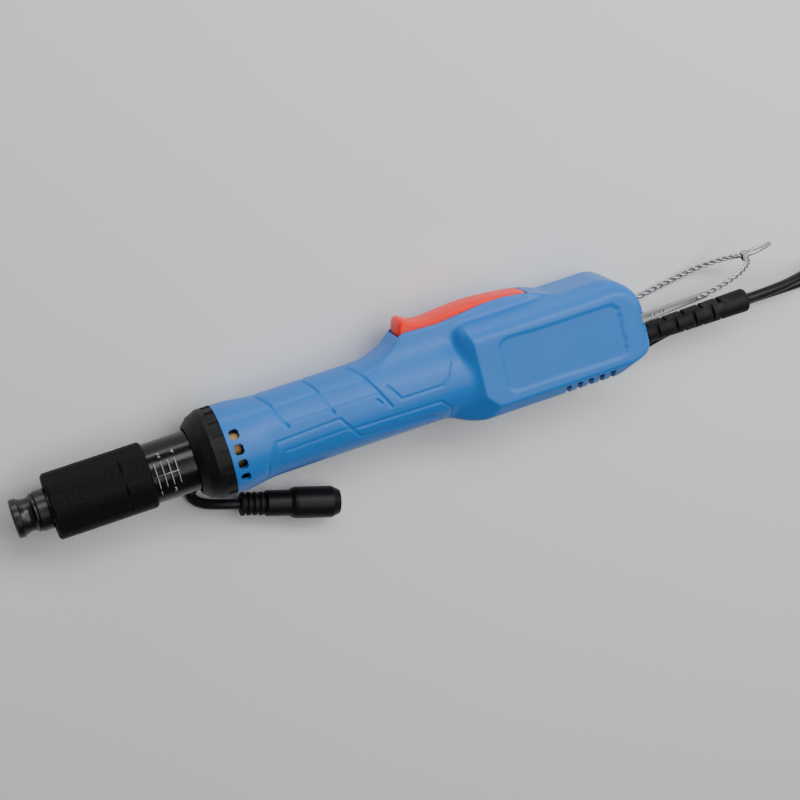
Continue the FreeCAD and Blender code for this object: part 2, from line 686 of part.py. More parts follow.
def output_spindle():
    """The bit holder and clutch shaft, turned from one bar."""
    tail_x = CLUTCH_PLATE_X + CLUTCH_PLATE_T + CLUTCH_SPLIT
    body = turned([(SPINDLE_MOUTH_X, 0), (SPINDLE_MOUTH_X, SPINDLE_NOSE_R - 0.5),
                   (SPINDLE_MOUTH_X + 0.5, SPINDLE_NOSE_R), (SPINDLE_STEP_X, SPINDLE_NOSE_R),
                   (SPINDLE_STEP_X, SPINDLE_R), (tail_x, SPINDLE_R), (tail_x, SPINDLE_TAIL_R),
                   (CARRIER_X, SPINDLE_TAIL_R), (CARRIER_X, 0)])
    socket = hexagon(BIT_HEX + BIT_CLEARANCE, SPINDLE_MOUTH_X - 1, BIT_DEPTH)
    ball_bore = Part.makeCylinder(LOCK_BALL_R + RUNNING_FIT, 2 * SPINDLE_R,
                                  V(LOCK_BALL_X, 0, -SPINDLE_R), Z_AXIS)
    return body.cut(socket).cut(ball_bore)


def lock_ball_height():
    """The balls stand a little way into the hexagon, in the groove of a bit."""
    return BIT_HEX / 2 + LOCK_BALL_R - 0.35


def locking_balls():
    z = lock_ball_height()
    return Part.makeCompound([Part.makeSphere(LOCK_BALL_R, V(LOCK_BALL_X, 0, s * z)) for s in (1, -1)])


def chuck_collar():
    """The sliding collar, with a waist for two fingers and a land over the balls."""
    land = lock_ball_height() + LOCK_BALL_R + RUNNING_FIT
    outer = [(0.0, COLLAR_FLANGE_R - 0.6), (0.5, COLLAR_FLANGE_R), (2.8, COLLAR_FLANGE_R),
             (3.4, COLLAR_FLANGE_R - 0.5), (5.0, COLLAR_WAIST_R + 0.2), (6.6, COLLAR_WAIST_R),
             (8.2, COLLAR_WAIST_R + 0.25), (9.2, COLLAR_FLANGE_R), (9.9, COLLAR_FLANGE_R),
             (10.3, COLLAR_FLANGE_R - 0.35), (10.7, COLLAR_R), (COLLAR_LENGTH - 0.4, COLLAR_R),
             (COLLAR_LENGTH, COLLAR_R - 0.4)]
    guide_x = 8.0
    guide_end = 9.4
    inner = [(COLLAR_LENGTH, SPINDLE_R + 2 * RUNNING_FIT), (guide_end, SPINDLE_R + 2 * RUNNING_FIT),
             (guide_end, SPINDLE_NOSE_R + RUNNING_FIT), (guide_x, SPINDLE_NOSE_R + RUNNING_FIT),
             (guide_x, land), (3.6, land), (3.0, land + 1.0), (0.0, land + 1.0)]
    return turned(outer + inner)


def collar_spring():
    guide_end = 9.4
    return coil_spring(guide_end + 0.1, SPINDLE_STEP_X - 0.1, SPINDLE_R - RUNNING_FIT, 1.0, 4.0, X_AXIS,
                       V(0, 0, 0))


def clutch_balls():
    x = CLUTCH_PLATE_X + CLUTCH_PLATE_T + CLUTCH_SPLIT / 2
    return [about_axis(Part.makeSphere(CLUTCH_BALL_R, V(x, CLUTCH_BALL_CIRCLE, 0)), 360 * i / CLUTCH_BALLS)
            for i in range(CLUTCH_BALLS)]


def ball_pockets():
    x = CLUTCH_PLATE_X + CLUTCH_PLATE_T + CLUTCH_SPLIT / 2
    radius = CLUTCH_BALL_R + PRESS_FIT
    return fused([about_axis(Part.makeSphere(radius, V(x, CLUTCH_BALL_CIRCLE, 0)), 360 * i / CLUTCH_BALLS)
                  for i in range(CLUTCH_BALLS)])


def clutch_plate():
    x1 = CLUTCH_PLATE_X + CLUTCH_PLATE_T
    return tube(CLUTCH_R, SPINDLE_R + PRESS_FIT, CLUTCH_PLATE_X, x1).cut(ball_pockets())


def planet_carrier():
    """The cam plate, its hub and the plate that holds the planets' pins, in one piece."""
    cam_x = CLUTCH_PLATE_X + CLUTCH_PLATE_T + CLUTCH_SPLIT
    cam_end = CARRIER_X - SPINDLE_BEARING_T - 2 * FREE_GAP
    bore = SPINDLE_TAIL_R + PRESS_FIT
    end = CARRIER_X + CARRIER_T
    body = turned([(cam_x, bore), (cam_x, CLUTCH_R), (cam_end, CLUTCH_R), (cam_end, CARRIER_HUB_R),
                   (CARRIER_X, CARRIER_HUB_R), (CARRIER_X, CARRIER_R), (end, CARRIER_R), (end, bore)])
    holes = [about_axis(rod(PLANET_PIN_R + PRESS_FIT, CARRIER_X - 1, end + 1, centre_distance()),
                        360 * i / PLANETS) for i in range(PLANETS)]
    return body.cut(ball_pockets()).cut(fused(holes))


def carrier_pins():
    end = gear_x() + GEAR_WIDTH
    return Part.makeCompound([about_axis(rod(PLANET_PIN_R, CARRIER_X, end, centre_distance()),
                                         360 * i / PLANETS) for i in range(PLANETS)])


def spindle_bearing():
    x1 = CARRIER_X - FREE_GAP
    return bearing(CARRIER_HUB_R + RUNNING_FIT, BARREL_BORE_R - PRESS_FIT, x1 - SPINDLE_BEARING_T, x1)


def bearing(inner, outer, x0, x1):
    """A ball bearing drawn as one ring with a groove in each face for its shields."""
    middle = (inner + outer) / 2
    width = (outer - inner) * 0.25
    body = tube(outer, inner, x0, x1)
    groove = tube(middle + width, middle - width, x0 - 1, x0 + 0.4)
    other = tube(middle + width, middle - width, x1 - 0.4, x1 + 1)
    return body.cut(groove).cut(other)


# Gears

def centre_distance():
    return MODULE * (SUN_TEETH + PLANET_TEETH) / 2


def ring_teeth():
    return SUN_TEETH + 2 * PLANET_TEETH


def gear_x():
    return CARRIER_X + CARRIER_T + FREE_GAP


def half_tooth(teeth, radius, internal):
    """Half the angle of a tooth, or of an internal gear's gap, at a radius of its involute flank."""
    pitch_r = MODULE * teeth / 2
    base_r = pitch_r * math.cos(math.radians(PRESSURE_ANGLE))
    alpha = math.radians(PRESSURE_ANGLE)
    involute = math.tan(alpha) - alpha
    here = math.acos(base_r / radius) if radius > base_r else 0.0
    change = involute - (math.tan(here) - here)
    slack = BACKLASH / 2 / pitch_r * (1 if internal else -1)
    return math.pi / (2 * teeth) + slack / 2 + change


def tooth_outline(teeth, inner_r, outer_r, internal):
    """Corners of the toothed outline, with three points on each flank."""
    middle = (inner_r + outer_r) / 2
    corners = []
    for i in range(teeth):
        centre = 2 * math.pi * i / teeth
        flank = [(r, half_tooth(teeth, r, internal)) for r in (inner_r, middle, outer_r)]
        rising = [(r, centre - a) for r, a in flank]
        falling = [(r, centre + a) for r, a in reversed(flank)]
        corners += rising + falling
    return corners


def toothed(teeth, inner_r, outer_r, x0, x1, internal):
    corners = [V(x0, r * math.cos(a), r * math.sin(a)) for r, a in tooth_outline(teeth, inner_r, outer_r, internal)]
    return Part.Face(Part.makePolygon(corners + corners[:1])).extrude(V(x1 - x0, 0, 0))


def external_gear(teeth, x0, x1):
    pitch_r = MODULE * teeth / 2
    return toothed(teeth, pitch_r - DEDENDUM * MODULE, pitch_r + ADDENDUM * MODULE, x0, x1, False)


def planet(index):
    x0 = gear_x()
    gear = external_gear(PLANET_TEETH, x0, x0 + GEAR_WIDTH)
    gear = gear.cut(rod(PLANET_PIN_R + RUNNING_FIT, x0 - 1, x0 + GEAR_WIDTH + 1))
    gear.translate(V(0, centre_distance(), 0))
    return about_axis(gear, 360 * index / PLANETS)


def ring_gear():
    """The fixed internal gear, whose outside shows through the windows."""
    teeth = ring_teeth()
    pitch_r = MODULE * teeth / 2
    outer = GEARBOX_BORE_R - RUNNING_FIT
    x0 = CARRIER_X
    x1 = MOTOR_X - FREE_GAP
    end_of_teeth = gear_x() + GEAR_WIDTH + FREE_GAP
    gaps = toothed(teeth, pitch_r - ADDENDUM * MODULE, pitch_r + DEDENDUM * MODULE, x0 - 1, x1 + 1, True)
    body = rod(outer, x0, x1).cut(gaps)
    wide = pitch_r + DEDENDUM * MODULE + 0.1
    body = body.cut(rod(wide, x0 - 1, gear_x() - FREE_GAP / 2))
    return body.cut(rod(wide, end_of_teeth, x1 + 1))


def sun_gear():
    """The motor's pinion. A tooth points at each planet, so that it is in mesh at rest."""
    x0 = gear_x()
    gear = external_gear(SUN_TEETH, x0, x0 + GEAR_WIDTH)
    return gear.cut(rod(SHAFT_R + PRESS_FIT, x0 - 1, x0 + GEAR_WIDTH + 1))


# Motor

def motor_shaft():
    return rod(SHAFT_R, gear_x(), MOTOR_X + MOTOR_LENGTH + 6)


def motor_can():
    x1 = MOTOR_X + MOTOR_LENGTH
    wall = 2.5
    inner = MOTOR_R - MOTOR_WALL
    seat = MOTOR_BEARING_R + PRESS_FIT
    body = turned([(MOTOR_X, seat), (MOTOR_X, MOTOR_R - 0.6), (MOTOR_X + 0.6, MOTOR_R), (x1, MOTOR_R),
                   (x1, inner), (MOTOR_X + wall, inner), (MOTOR_X + wall, MOTOR_BEARING_R + 1.5),
                   (MOTOR_X + MOTOR_BEARING_T, MOTOR_BEARING_R + 1.5), (MOTOR_X + MOTOR_BEARING_T, seat)])
    slots = [about_axis(block(MOTOR_X - 1, MOTOR_X + wall + 1, 8.5, 12.0, -2.0, 2.0), 90 * i) for i in range(4)]
    return body.cut(fused(slots))


def front_motor_bearing():
    return bearing(SHAFT_R + PRESS_FIT, MOTOR_BEARING_R, MOTOR_X, MOTOR_X + MOTOR_BEARING_T)


def rear_motor_bearing():
    x1 = MOTOR_X + MOTOR_LENGTH
    return bearing(SHAFT_R + PRESS_FIT, MOTOR_BEARING_R, x1, x1 + MOTOR_BEARING_T)


def field_magnets():
    """Two curved magnets, glued inside the can."""
    outer = MOTOR_R - MOTOR_WALL - PRESS_FIT
    arc = tube(outer, outer - MAGNET_T, MAGNET_X, MAGNET_X + MAGNET_LENGTH)
    half = block(MAGNET_X, MAGNET_X + MAGNET_LENGTH, 5.0, MOTOR_R, -MOTOR_R, MOTOR_R)
    upper = arc.common(half)
    lower = upper.copy()
    lower.rotate(V(0, 0, 0), X_AXIS, 180)
    return Part.makeCompound([upper, lower])


def armature():
    """The laminated core, with its winding slots."""
    body = tube(ARMATURE_R, SHAFT_R + PRESS_FIT, ARMATURE_X, ARMATURE_X + ARMATURE_LENGTH)
    slots = []
    for i in range(ARMATURE_SLOTS):
        mouth = block(ARMATURE_X - 1, ARMATURE_X + ARMATURE_LENGTH + 1, 6.0, ARMATURE_R + 1, -0.7, 0.7)
        well = rod(1.7, ARMATURE_X - 1, ARMATURE_X + ARMATURE_LENGTH + 1, 7.2)
        slots.append(about_axis(mouth.fuse(well), 360 * i / ARMATURE_SLOTS))
    return body.cut(fused(slots))


def armature_windings():
    """The end turns of the winding, in front of the core and behind it."""
    wells = []
    for x0, x1 in ((ARMATURE_X - 4.5, ARMATURE_X), (ARMATURE_X + ARMATURE_LENGTH, COMMUTATOR_X)):
        lean = min(2.0, (x1 - x0) / 2)
        wells.append(turned([(x0, SHAFT_R + 0.4), (x0, 7.5), (x0 + lean, 9.4), (x1 - lean, 9.4), (x1, 8.4),
                             (x1, SHAFT_R + 0.4)]))
    return Part.makeCompound(wells)


def commutator():
    body = tube(COMMUTATOR_R, SHAFT_R + PRESS_FIT, COMMUTATOR_X, COMMUTATOR_X + COMMUTATOR_LENGTH)
    gaps = [about_axis(block(COMMUTATOR_X - 1, COMMUTATOR_X + COMMUTATOR_LENGTH + 1, COMMUTATOR_R - 0.8,
                             COMMUTATOR_R + 1, -0.25, 0.25), 360 * i / ARMATURE_SLOTS)
            for i in range(ARMATURE_SLOTS)]
    return body.cut(fused(gaps))


def motor_end_cap():
    """The insulating cap, with a guide for each brush."""
    x0 = MOTOR_X + MOTOR_LENGTH
    inner = MOTOR_R - MOTOR_WALL - RUNNING_FIT
    cap = turned([(x0 - 1.0, MOTOR_BEARING_R + 1.0), (x0 - 1.0, inner), (x0, inner), (x0, MOTOR_R - MOTOR_WALL),
                  (x0 + 1.2, MOTOR_R - MOTOR_WALL - 1.0), (x0 + 1.2, 11.0), (x0 + MOTOR_BEARING_T, 8.0),
                  (x0 + MOTOR_BEARING_T, MOTOR_BEARING_R + PRESS_FIT), (x0 - 0.6, MOTOR_BEARING_R + PRESS_FIT)])
    guides = [block(COMMUTATOR_X + 0.6, x0 - 1.0, s * 9.0 - 2.6, s * 9.0 + 2.6, -2.8, 2.8) for s in (1, -1)]
    wells = [block(COMMUTATOR_X, x0 - 1.8, s * 9.0 - 4.0, s * 9.0 + 4.0, -1.9, 1.9) for s in (1, -1)]
    return fused([cap] + [g.cut(w) for g, w in zip(guides, wells)])


def carbon_brushes():
    x1 = MOTOR_X + MOTOR_LENGTH - 1.8
    upper = block(COMMUTATOR_X + 1.0, x1 - PRESS_FIT, COMMUTATOR_R + FREE_GAP, 11.4, -1.85, 1.85)
    lower = upper.copy()
    lower.rotate(V(0, 0, 0), X_AXIS, 180)
    return Part.makeCompound([upper, lower])


# Start lever

def start_lever():
    """The press lever: a wavy top, a round tip and a boss round its pin."""
    under = LEVER_PIVOT_Y + 1.6
    tip = V(LEVER_TIP_X, 29.6, 0)
    points = [V(LEVER_TIP_X + 1.2, under + 0.2, 0), tip, V(LEVER_TIP_X + 2.2, 31.5, 0)]
    front = Part.Arc(points[0], V(LEVER_TIP_X - 0.1, 26.6, 0), tip).toShape()
    nose = Part.Arc(tip, V(LEVER_TIP_X + 0.5, 31.1, 0), points[2]).toShape()
    dip = V(203.0, 28.5, 0)
    swell = V(224.0, 28.2, 0)
    heel_top = V(LEVER_PIVOT_X + 3.6, 24.6, 0)
    hollow_top = Part.Arc(points[2], V(193.0, 29.4, 0), dip).toShape()
    raised_top = Part.Arc(dip, V(214.0, 28.9, 0), swell).toShape()
    back_top = Part.Arc(swell, V(231.5, 26.8, 0), heel_top).toShape()
    heel_x = LEVER_PIVOT_X + 4.2
    rear = [heel_top, V(heel_x, LEVER_PIVOT_Y, 0), V(heel_x - 2.0, LEVER_PIVOT_Y - 2.4, 0),
            V(LEVER_PIVOT_X - 4.0, LEVER_PIVOT_Y - 2.4, 0), V(LEVER_PIVOT_X - 8.0, under, 0), points[0]]
    edges = [front, nose, hollow_top, raised_top, back_top]
    edges += [Part.LineSegment(a, b).toShape() for a, b in zip(rear, rear[1:])]
    face = Part.Face(Part.Wire(edges))
    face.translate(V(0, 0, -LEVER_HALF))
    body = face.extrude(V(0, 0, 2 * LEVER_HALF))
    bevel = 1.0
    half = LEVER_HALF
    hollow = block(LEVER_TIP_X + 4.0, LEVER_PIVOT_X - 9.0, under - 1, under + 2.4, -half + bevel, half - bevel)
    bore = Part.makeCylinder(LEVER_PIN_R + RUNNING_FIT, 2 * half + 2, V(LEVER_PIVOT_X, LEVER_PIVOT_Y, -half - 1),
                             Z_AXIS)
    pad = Part.makeCylinder(PLUNGER_R + 1.2, 2.5, V(PLUNGER_X, under, 0), Y_AXIS)
    return body.cut(hollow.cut(pad)).cut(bore)


def lever_pin():
    return Part.makeCylinder(LEVER_PIN_R, 2 * BED_HALF, V(LEVER_PIVOT_X, LEVER_PIVOT_Y, -BED_HALF), Z_AXIS)


def lever_under():
    return LEVER_PIVOT_Y + 1.6


def lever_spring():
    return coil_spring(SLOT_FLOOR + 0.1, lever_under() - 0.1, PLUNGER_R + 1.6, 0.8, 3.0, Y_AXIS, V(PLUNGER_X, 0, 0))


def switch_plunger():
    height = lever_under() - FREE_GAP - PLUNGER_FOOT
    return Part.makeCylinder(PLUNGER_R, height, V(PLUNGER_X, PLUNGER_FOOT, 0), Y_AXIS)


def start_switch():
    body = block(SWITCH_X, SWITCH_X + SWITCH_LENGTH, SWITCH_FLOOR, SWITCH_TOP, -SWITCH_HALF, SWITCH_HALF)
    well = Part.makeCylinder(PLUNGER_R + RUNNING_FIT, 12, V(PLUNGER_X, PLUNGER_FOOT - 3.2, 0), Y_AXIS)
    return body.cut(well)


# Electronics

def control_board():
    half = REAR_HALF_WIDTH - WALL - FREE_GAP
    return block(BOARD_X, BOARD_X + BOARD_LENGTH, BOARD_Y, BOARD_Y + BOARD_T, -half, half)


def board_capacitors():
    top = BOARD_Y + BOARD_T
    return Part.makeCompound([Part.makeCylinder(4.0, 11.0, V(BOARD_X + 30, top, z), Y_AXIS) for z in (-10.0, 10.0)])


def heat_sink():
    """Finned plate over the motor's transistors."""
    top = BOARD_Y + BOARD_T
    x0 = BOARD_X + 14
    fins = [block(x0, x0 + 12.0, top, top + 7.0, z - 0.5, z + 0.5) for z in (-6.0, -3.0, 0.0, 3.0, 6.0)]
    return fused([block(x0, x0 + 12.0, top, top + 1.5, -7.0, 7.0)] + fins)


def terminal_block():
    top = BOARD_Y + BOARD_T
    x0 = BOARD_X + BOARD_LENGTH - 8
    body = block(x0, x0 + 7.0, top, top + 6.0, -6.0, 6.0)
    wells = [Part.makeCylinder(1.2, 3.0, V(x0 + 3.5, top + 3.5, z), Y_AXIS) for z in (-3.6, 0.0, 3.6)]
    return body.cut(fused(wells))


# Tail

def direction_switch():
    """The two-way switch behind the tail's wall."""
    x1 = TOOL_LENGTH - WALL
    return block(x1 - 8.0, x1, KNOB_Y - 3.9, KNOB_Y + 3.9, -7.5, 7.5).cut(
        block(x1 - 3.0, x1 + 1, KNOB_Y - KNOB_HALF_Y - FREE_GAP, KNOB_Y + KNOB_HALF_Y + FREE_GAP,
              -KNOB_HALF_Z - KNOB_TRAVEL - FREE_GAP, KNOB_HALF_Z + KNOB_TRAVEL + FREE_GAP))


def direction_knob():
    x0 = TOOL_LENGTH - WALL - 3.0 + FREE_GAP
    body = block(x0, TOOL_LENGTH + 2.2, KNOB_Y - KNOB_HALF_Y, KNOB_Y + KNOB_HALF_Y, -KNOB_HALF_Z, KNOB_HALF_Z)
    ribs = [block(TOOL_LENGTH + 1.6, TOOL_LENGTH + 3, KNOB_Y - KNOB_HALF_Y - 1, KNOB_Y + KNOB_HALF_Y + 1,
                  z - 0.35, z + 0.35) for z in (-1.2, 0.0, 1.2)]
    return body.cut(fused(ribs))


def bail_pivots():
    """A pin across the slot in each side of the tail, which the bail's arms turn on."""
    inner = REAR_HALF_WIDTH - POCKET_DEPTH
    pin = Part.makeCylinder(PIVOT_R, POCKET_DEPTH - POCKET_COVER, V(PIVOT_X, PIVOT_Y, inner), Z_AXIS)
    seated = Part.makeCylinder(PIVOT_R - 2 * PRESS_FIT, WALL + POCKET_DEPTH - PRESS_FIT,
                               V(PIVOT_X, PIVOT_Y, inner - WALL), Z_AXIS)
    side = pin.fuse(seated)
    return Part.makeCompound([side, mirrored(side)])


def hanging_bail():
    """Two flat arms that run on into one bent wire, with a narrow eye at its end."""
    mid = REAR_HALF_WIDTH - POCKET_DEPTH + FREE_GAP + BAIL_PLATE_T / 2
    end = BAIL_LENGTH - BAIL_WIRE_R
    half_path = [(BAIL_ARM - 3, mid), (BAIL_ARM + 10, mid - 1.2), (BAIL_ARM + 21, mid - 7.0),
                 (BAIL_ARM + 26.5, 4.8), (end - 4.5, 2.7), (end, BAIL_EYE_HALF)]
    points = [V(PIVOT_X + u, PIVOT_Y, w) for u, w in half_path]
    points += [V(p.x, p.y, -p.z) for p in reversed(points)]
    wire = swept(points, BAIL_WIRE_R, "bail wire")
    root_half = 3.6
    tip_half = BAIL_WIRE_R + 0.3
    outline = [(PIVOT_X, PIVOT_Y - root_half), (PIVOT_X + BAIL_ARM, PIVOT_Y - tip_half),
               (PIVOT_X + BAIL_ARM, PIVOT_Y + tip_half), (PIVOT_X, PIVOT_Y + root_half)]
    low = mid - BAIL_PLATE_T / 2
    arm = side_prism(outline, low, low + BAIL_PLATE_T)
    eye = Part.makeCylinder(root_half, BAIL_PLATE_T, V(PIVOT_X, PIVOT_Y, low), Z_AXIS)
    bore = Part.makeCylinder(PIVOT_R + RUNNING_FIT, BAIL_PLATE_T + 2, V(PIVOT_X, PIVOT_Y, low - 1), Z_AXIS)
    rivets = [Part.makeCylinder(0.8, BAIL_PLATE_T + 2, V(PIVOT_X + u, PIVOT_Y, low - 1), Z_AXIS) for u in (8.0, 13.0)]
    arm = arm.fuse(eye).cut(fused([bore] + rivets))
    body = fused([wire, arm, mirrored(arm)])
    body.rotate(V(PIVOT_X, PIVOT_Y, 0), Z_AXIS, BAIL_TILT)
    return body


def relief_flange_x():
    return TOOL_LENGTH - WALL - RELIEF_NECK - RELIEF_FLANGE_T


def strain_relief():
    """A tapered sleeve with staggered slots, held by a flange inside the tail."""
    flange_x = relief_flange_x()
    flange_end = flange_x + RELIEF_FLANGE_T
    nose = 1.6
    body = turned([(flange_x, 0), (flange_x, RELIEF_FLANGE_R), (flange_end, RELIEF_FLANGE_R),
                   (flange_end, RELIEF_R), (TOOL_LENGTH + 2, RELIEF_R),
                   (RELIEF_END_X - nose, RELIEF_END_R), (RELIEF_END_X - nose / 3, RELIEF_END_R - 0.6),
                   (RELIEF_END_X, RELIEF_END_R - nose), (RELIEF_END_X, 0)])
    count = int((RELIEF_END_X - RELIEF_HEAD - TOOL_LENGTH - 4) / RELIEF_PITCH)
    slots = []
    for i in range(count):
        x0 = TOOL_LENGTH + 4 + i * RELIEF_PITCH
        side = block(x0, x0 + RELIEF_SLOT, RELIEF_CORE_R, 9.0, -9.0, 9.0)
        turn = 90 * (i % 2)
        slots.append(about_axis(side, turn))
        slots.append(about_axis(side, turn + 180))
    body = body.cut(fused(slots))
    body.translate(V(0, RELIEF_Y, 0))
    return body


def lead_inner():
    """The end of the lead inside the housing, in front of the strain relief."""
    x1 = relief_flange_x()
    return rod(LEAD_R, x1 - LEAD_INNER, x1, RELIEF_Y)


# Lead

LEAD_OUT = [(RELIEF_END_X, RELIEF_Y, 0.0), (354.0, RELIEF_Y, 0.0), (369.0, RELIEF_Y, -4.6), (383.0, -11.0, -12.4),
            (396.0, -10.0, LEAD_Z), (407.0, -5.6, LEAD_Z), (413.6, 2.6, LEAD_Z), (416.0, 13.0, LEAD_Z)]

LEAD_RETURN = [(446.0, -17.0, LEAD_Z + LEAD_D), (436.0, -17.1, LEAD_Z + LEAD_D), (421.0, -17.2, LEAD_Z + 2.1),
               (404.0, -17.0, LEAD_Z), (372.0, -17.6, LEAD_Z), (338.0, -17.0, LEAD_Z), (310.0, -18.4, LEAD_Z),
               (289.0, -22.8, LEAD_Z), (268.0, -25.0, LEAD_Z), (240.0, -25.4, LEAD_Z), (214.0, -24.0, LEAD_Z),
               (190.0, -19.4, LEAD_Z), (164.0, -15.6, LEAD_Z), (136.0, -14.6, LEAD_Z), (112.0, -15.4, LEAD_Z),
               (96.0, -16.2, LEAD_Z), (85.0, -15.7, LEAD_Z), (77.6, -16.9, LEAD_Z), (75.0, -20.8, LEAD_Z + 0.5),
               (78.8, -24.9, LEAD_Z + 2.6)]


def lead_out():
    return swept([V(*p) for p in LEAD_OUT], LEAD_R, "lead out")


def plug_direction():
    angle = math.radians(PLUG_ANGLE)
    return V(math.cos(angle), math.sin(angle), 0)


def lead_return():
    entry = V(PLUG_X, PLUG_Y, PLUG_Z)
    points = [V(*p) for p in LEAD_RETURN] + [entry - plug_direction() * 8.0, entry]
    return swept(points, LEAD_R, "lead return")


def lead_coil():
    """The put-away turns as one ring, round at its edges."""
    width = COIL_ACROSS * LEAD_D
    height = COIL_ROWS * LEAD_D
    inner = COIL_MEAN_R - width / 2
    outer = COIL_MEAN_R + width / 2
    bevel = LEAD_R
    z = TABLE_Z
    corners = [(inner + bevel, z), (outer - bevel, z), (outer, z + bevel), (outer, z + height - bevel),
               (outer - bevel, z + height), (inner + bevel, z + height), (inner, z + height - bevel),
               (inner, z + bevel)]
    points = [V(COIL_CENTRE_X + r, COIL_CENTRE_Y, h) for r, h in corners]
    face = Part.Face(Part.makePolygon(points + points[:1]))
    return face.revolve(V(COIL_CENTRE_X, COIL_CENTRE_Y, 0), Z_AXIS, 360)


def lead_tie():
    """A strap round the coil at its far side."""
    width = COIL_ACROSS * LEAD_D + 0.2
    height = COIL_ROWS * LEAD_D + 0.1
    x = COIL_CENTRE_X + COIL_MEAN_R
    strap = 1.0
    outer = block(x - width / 2 - strap, x + width / 2 + strap, COIL_CENTRE_Y - 4, COIL_CENTRE_Y + 4,
                  TABLE_Z, TABLE_Z + height + strap)
    inner = block(x - width / 2 - 0.6, x + width / 2 + 0.6, COIL_CENTRE_Y - 5, COIL_CENTRE_Y + 5,
                  TABLE_Z - 1, TABLE_Z + height)
    return outer.cut(inner)


# Connector

def along_plug(shape):
    """Place a shape made along +x from the origin at the connector's place."""
    shape.rotate(V(0, 0, 0), Z_AXIS, PLUG_ANGLE)
    shape.translate(V(PLUG_X, PLUG_Y, PLUG_Z))
    return shape


def connector_boot():
    """The ribbed sleeve where the lead enters the connector."""
    ribs = 4
    pitch = BOOT_LENGTH / ribs
    profile = [(0.0, 0.0)]
    for i in range(ribs):
        x = i * pitch
        profile += [(x, BOOT_R - 0.9), (x + 0.35, BOOT_R), (x + pitch * 0.6, BOOT_R), (x + pitch * 0.6 + 0.3, BOOT_R - 0.9)]
    profile += [(BOOT_LENGTH, BOOT_R - 0.9), (BOOT_LENGTH, 0.0)]
    return along_plug(turned(profile))


def connector_shell():
    """The moulded body, which widens to a collar with a bevelled mouth."""
    x0 = BOOT_LENGTH
    x1 = x0 + PLUG_BODY_LENGTH
    end = PLUG_LENGTH
    bore_x = end - PLUG_BORE_DEPTH
    return along_plug(turned([(x0, 0), (x0, PLUG_BODY_R - 0.6), (x0 + 0.8, PLUG_BODY_R), (x1, PLUG_BODY_R),
                              (x1 + 1.6, PLUG_R - 0.3), (x1 + 3.0, PLUG_R), (end - PLUG_CHAMFER, PLUG_R),
                              (end, PLUG_R - 1.6), (end, PLUG_BORE_R), (bore_x, PLUG_BORE_R), (bore_x, 0)]))


def connector_contacts():
    """The centre pin and its two neighbours, on the floor of the mouth."""
    floor = PLUG_LENGTH - PLUG_BORE_DEPTH
    pins = [rod(0.6, floor, PLUG_LENGTH - 1.5, 2.4 * math.cos(a), 2.4 * math.sin(a))
            for a in [math.radians(90 + 120 * i) for i in range(3)]]
    return Part.makeCompound([along_plug(p) for p in pins])


def main():
    left, right = housing()
    save(left, "left_shell")
    save(right, "right_shell")
    save(shell_screws(), "shell_screws")
    save(nose_ring(), "nose_ring")
    save(barrel(), "barrel")
    save(torque_sleeve(), "torque_sleeve")
    save(sleeve_rear_collar(), "sleeve_rear_collar")
    save(thrust_ring(), "thrust_ring")
    save(clutch_spring(), "clutch_spring")
    save(output_spindle(), "output_spindle")
    save(locking_balls(), "locking_balls")
    save(chuck_collar(), "chuck_collar")
    save(collar_spring(), "collar_spring")
    save(clutch_plate(), "clutch_plate")
    save(Part.makeCompound(clutch_balls()), "clutch_balls")
    save(planet_carrier(), "planet_carrier")
    save(carrier_pins(), "carrier_pins")
    save(spindle_bearing(), "spindle_bearing")
    for i in range(PLANETS):
        save(planet(i), "planet_gear_" + str(i + 1))
    save(ring_gear(), "ring_gear")
    save(sun_gear(), "sun_gear")
    save(motor_shaft(), "motor_shaft")
    save(motor_can(), "motor_can")
    save(front_motor_bearing(), "front_motor_bearing")
    save(rear_motor_bearing(), "rear_motor_bearing")
    save(field_magnets(), "field_magnets")
    save(armature(), "armature")
    save(armature_windings(), "armature_windings")
    save(commutator(), "commutator")
    save(motor_end_cap(), "motor_end_cap")
    save(carbon_brushes(), "carbon_brushes")
    save(start_lever(), "start_lever")
    save(lever_pin(), "lever_pin")
    save(lever_spring(), "lever_spring")
    save(switch_plunger(), "switch_plunger")
    save(start_switch(), "start_switch")
    save(control_board(), "control_board")
    save(board_capacitors(), "board_capacitors")
    save(heat_sink(), "heat_sink")
    save(terminal_block(), "terminal_block")
    save(direction_switch(), "direction_switch")
    save(direction_knob(), "direction_knob")
    save(bail_pivots(), "bail_pivots")
    save(hanging_bail(), "hanging_bail")
    save(strain_relief(), "strain_relief")
    save(lead_inner(), "lead_inner")
    save(lead_out(), "lead_out")
    save(lead_coil(), "lead_coil")
    save(lead_tie(), "lead_tie")
    save(lead_return(), "lead_return")
    save(connector_boot(), "connector_boot")
    save(connector_shell(), "connector_shell")
    save(connector_contacts(), "connector_contacts")


main()
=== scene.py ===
# %% [markdown]
# An electric torque screwdriver lies on its side on a pale table. The construction comes from a packed
# CAD model, which stays exactly where it is. This file gives every piece its finish, and adds the pieces
# that a modelling program makes better than a drawing program does: the housing's flowing skin, the domed
# lever, the lead, the twisted wire and the printed scale. Loading the frame first means that everything else
# can be placed from it.

# %% Load the frame
import json
import math

import bmesh
import bpy
import numpy as np
from mathutils import Matrix, Vector


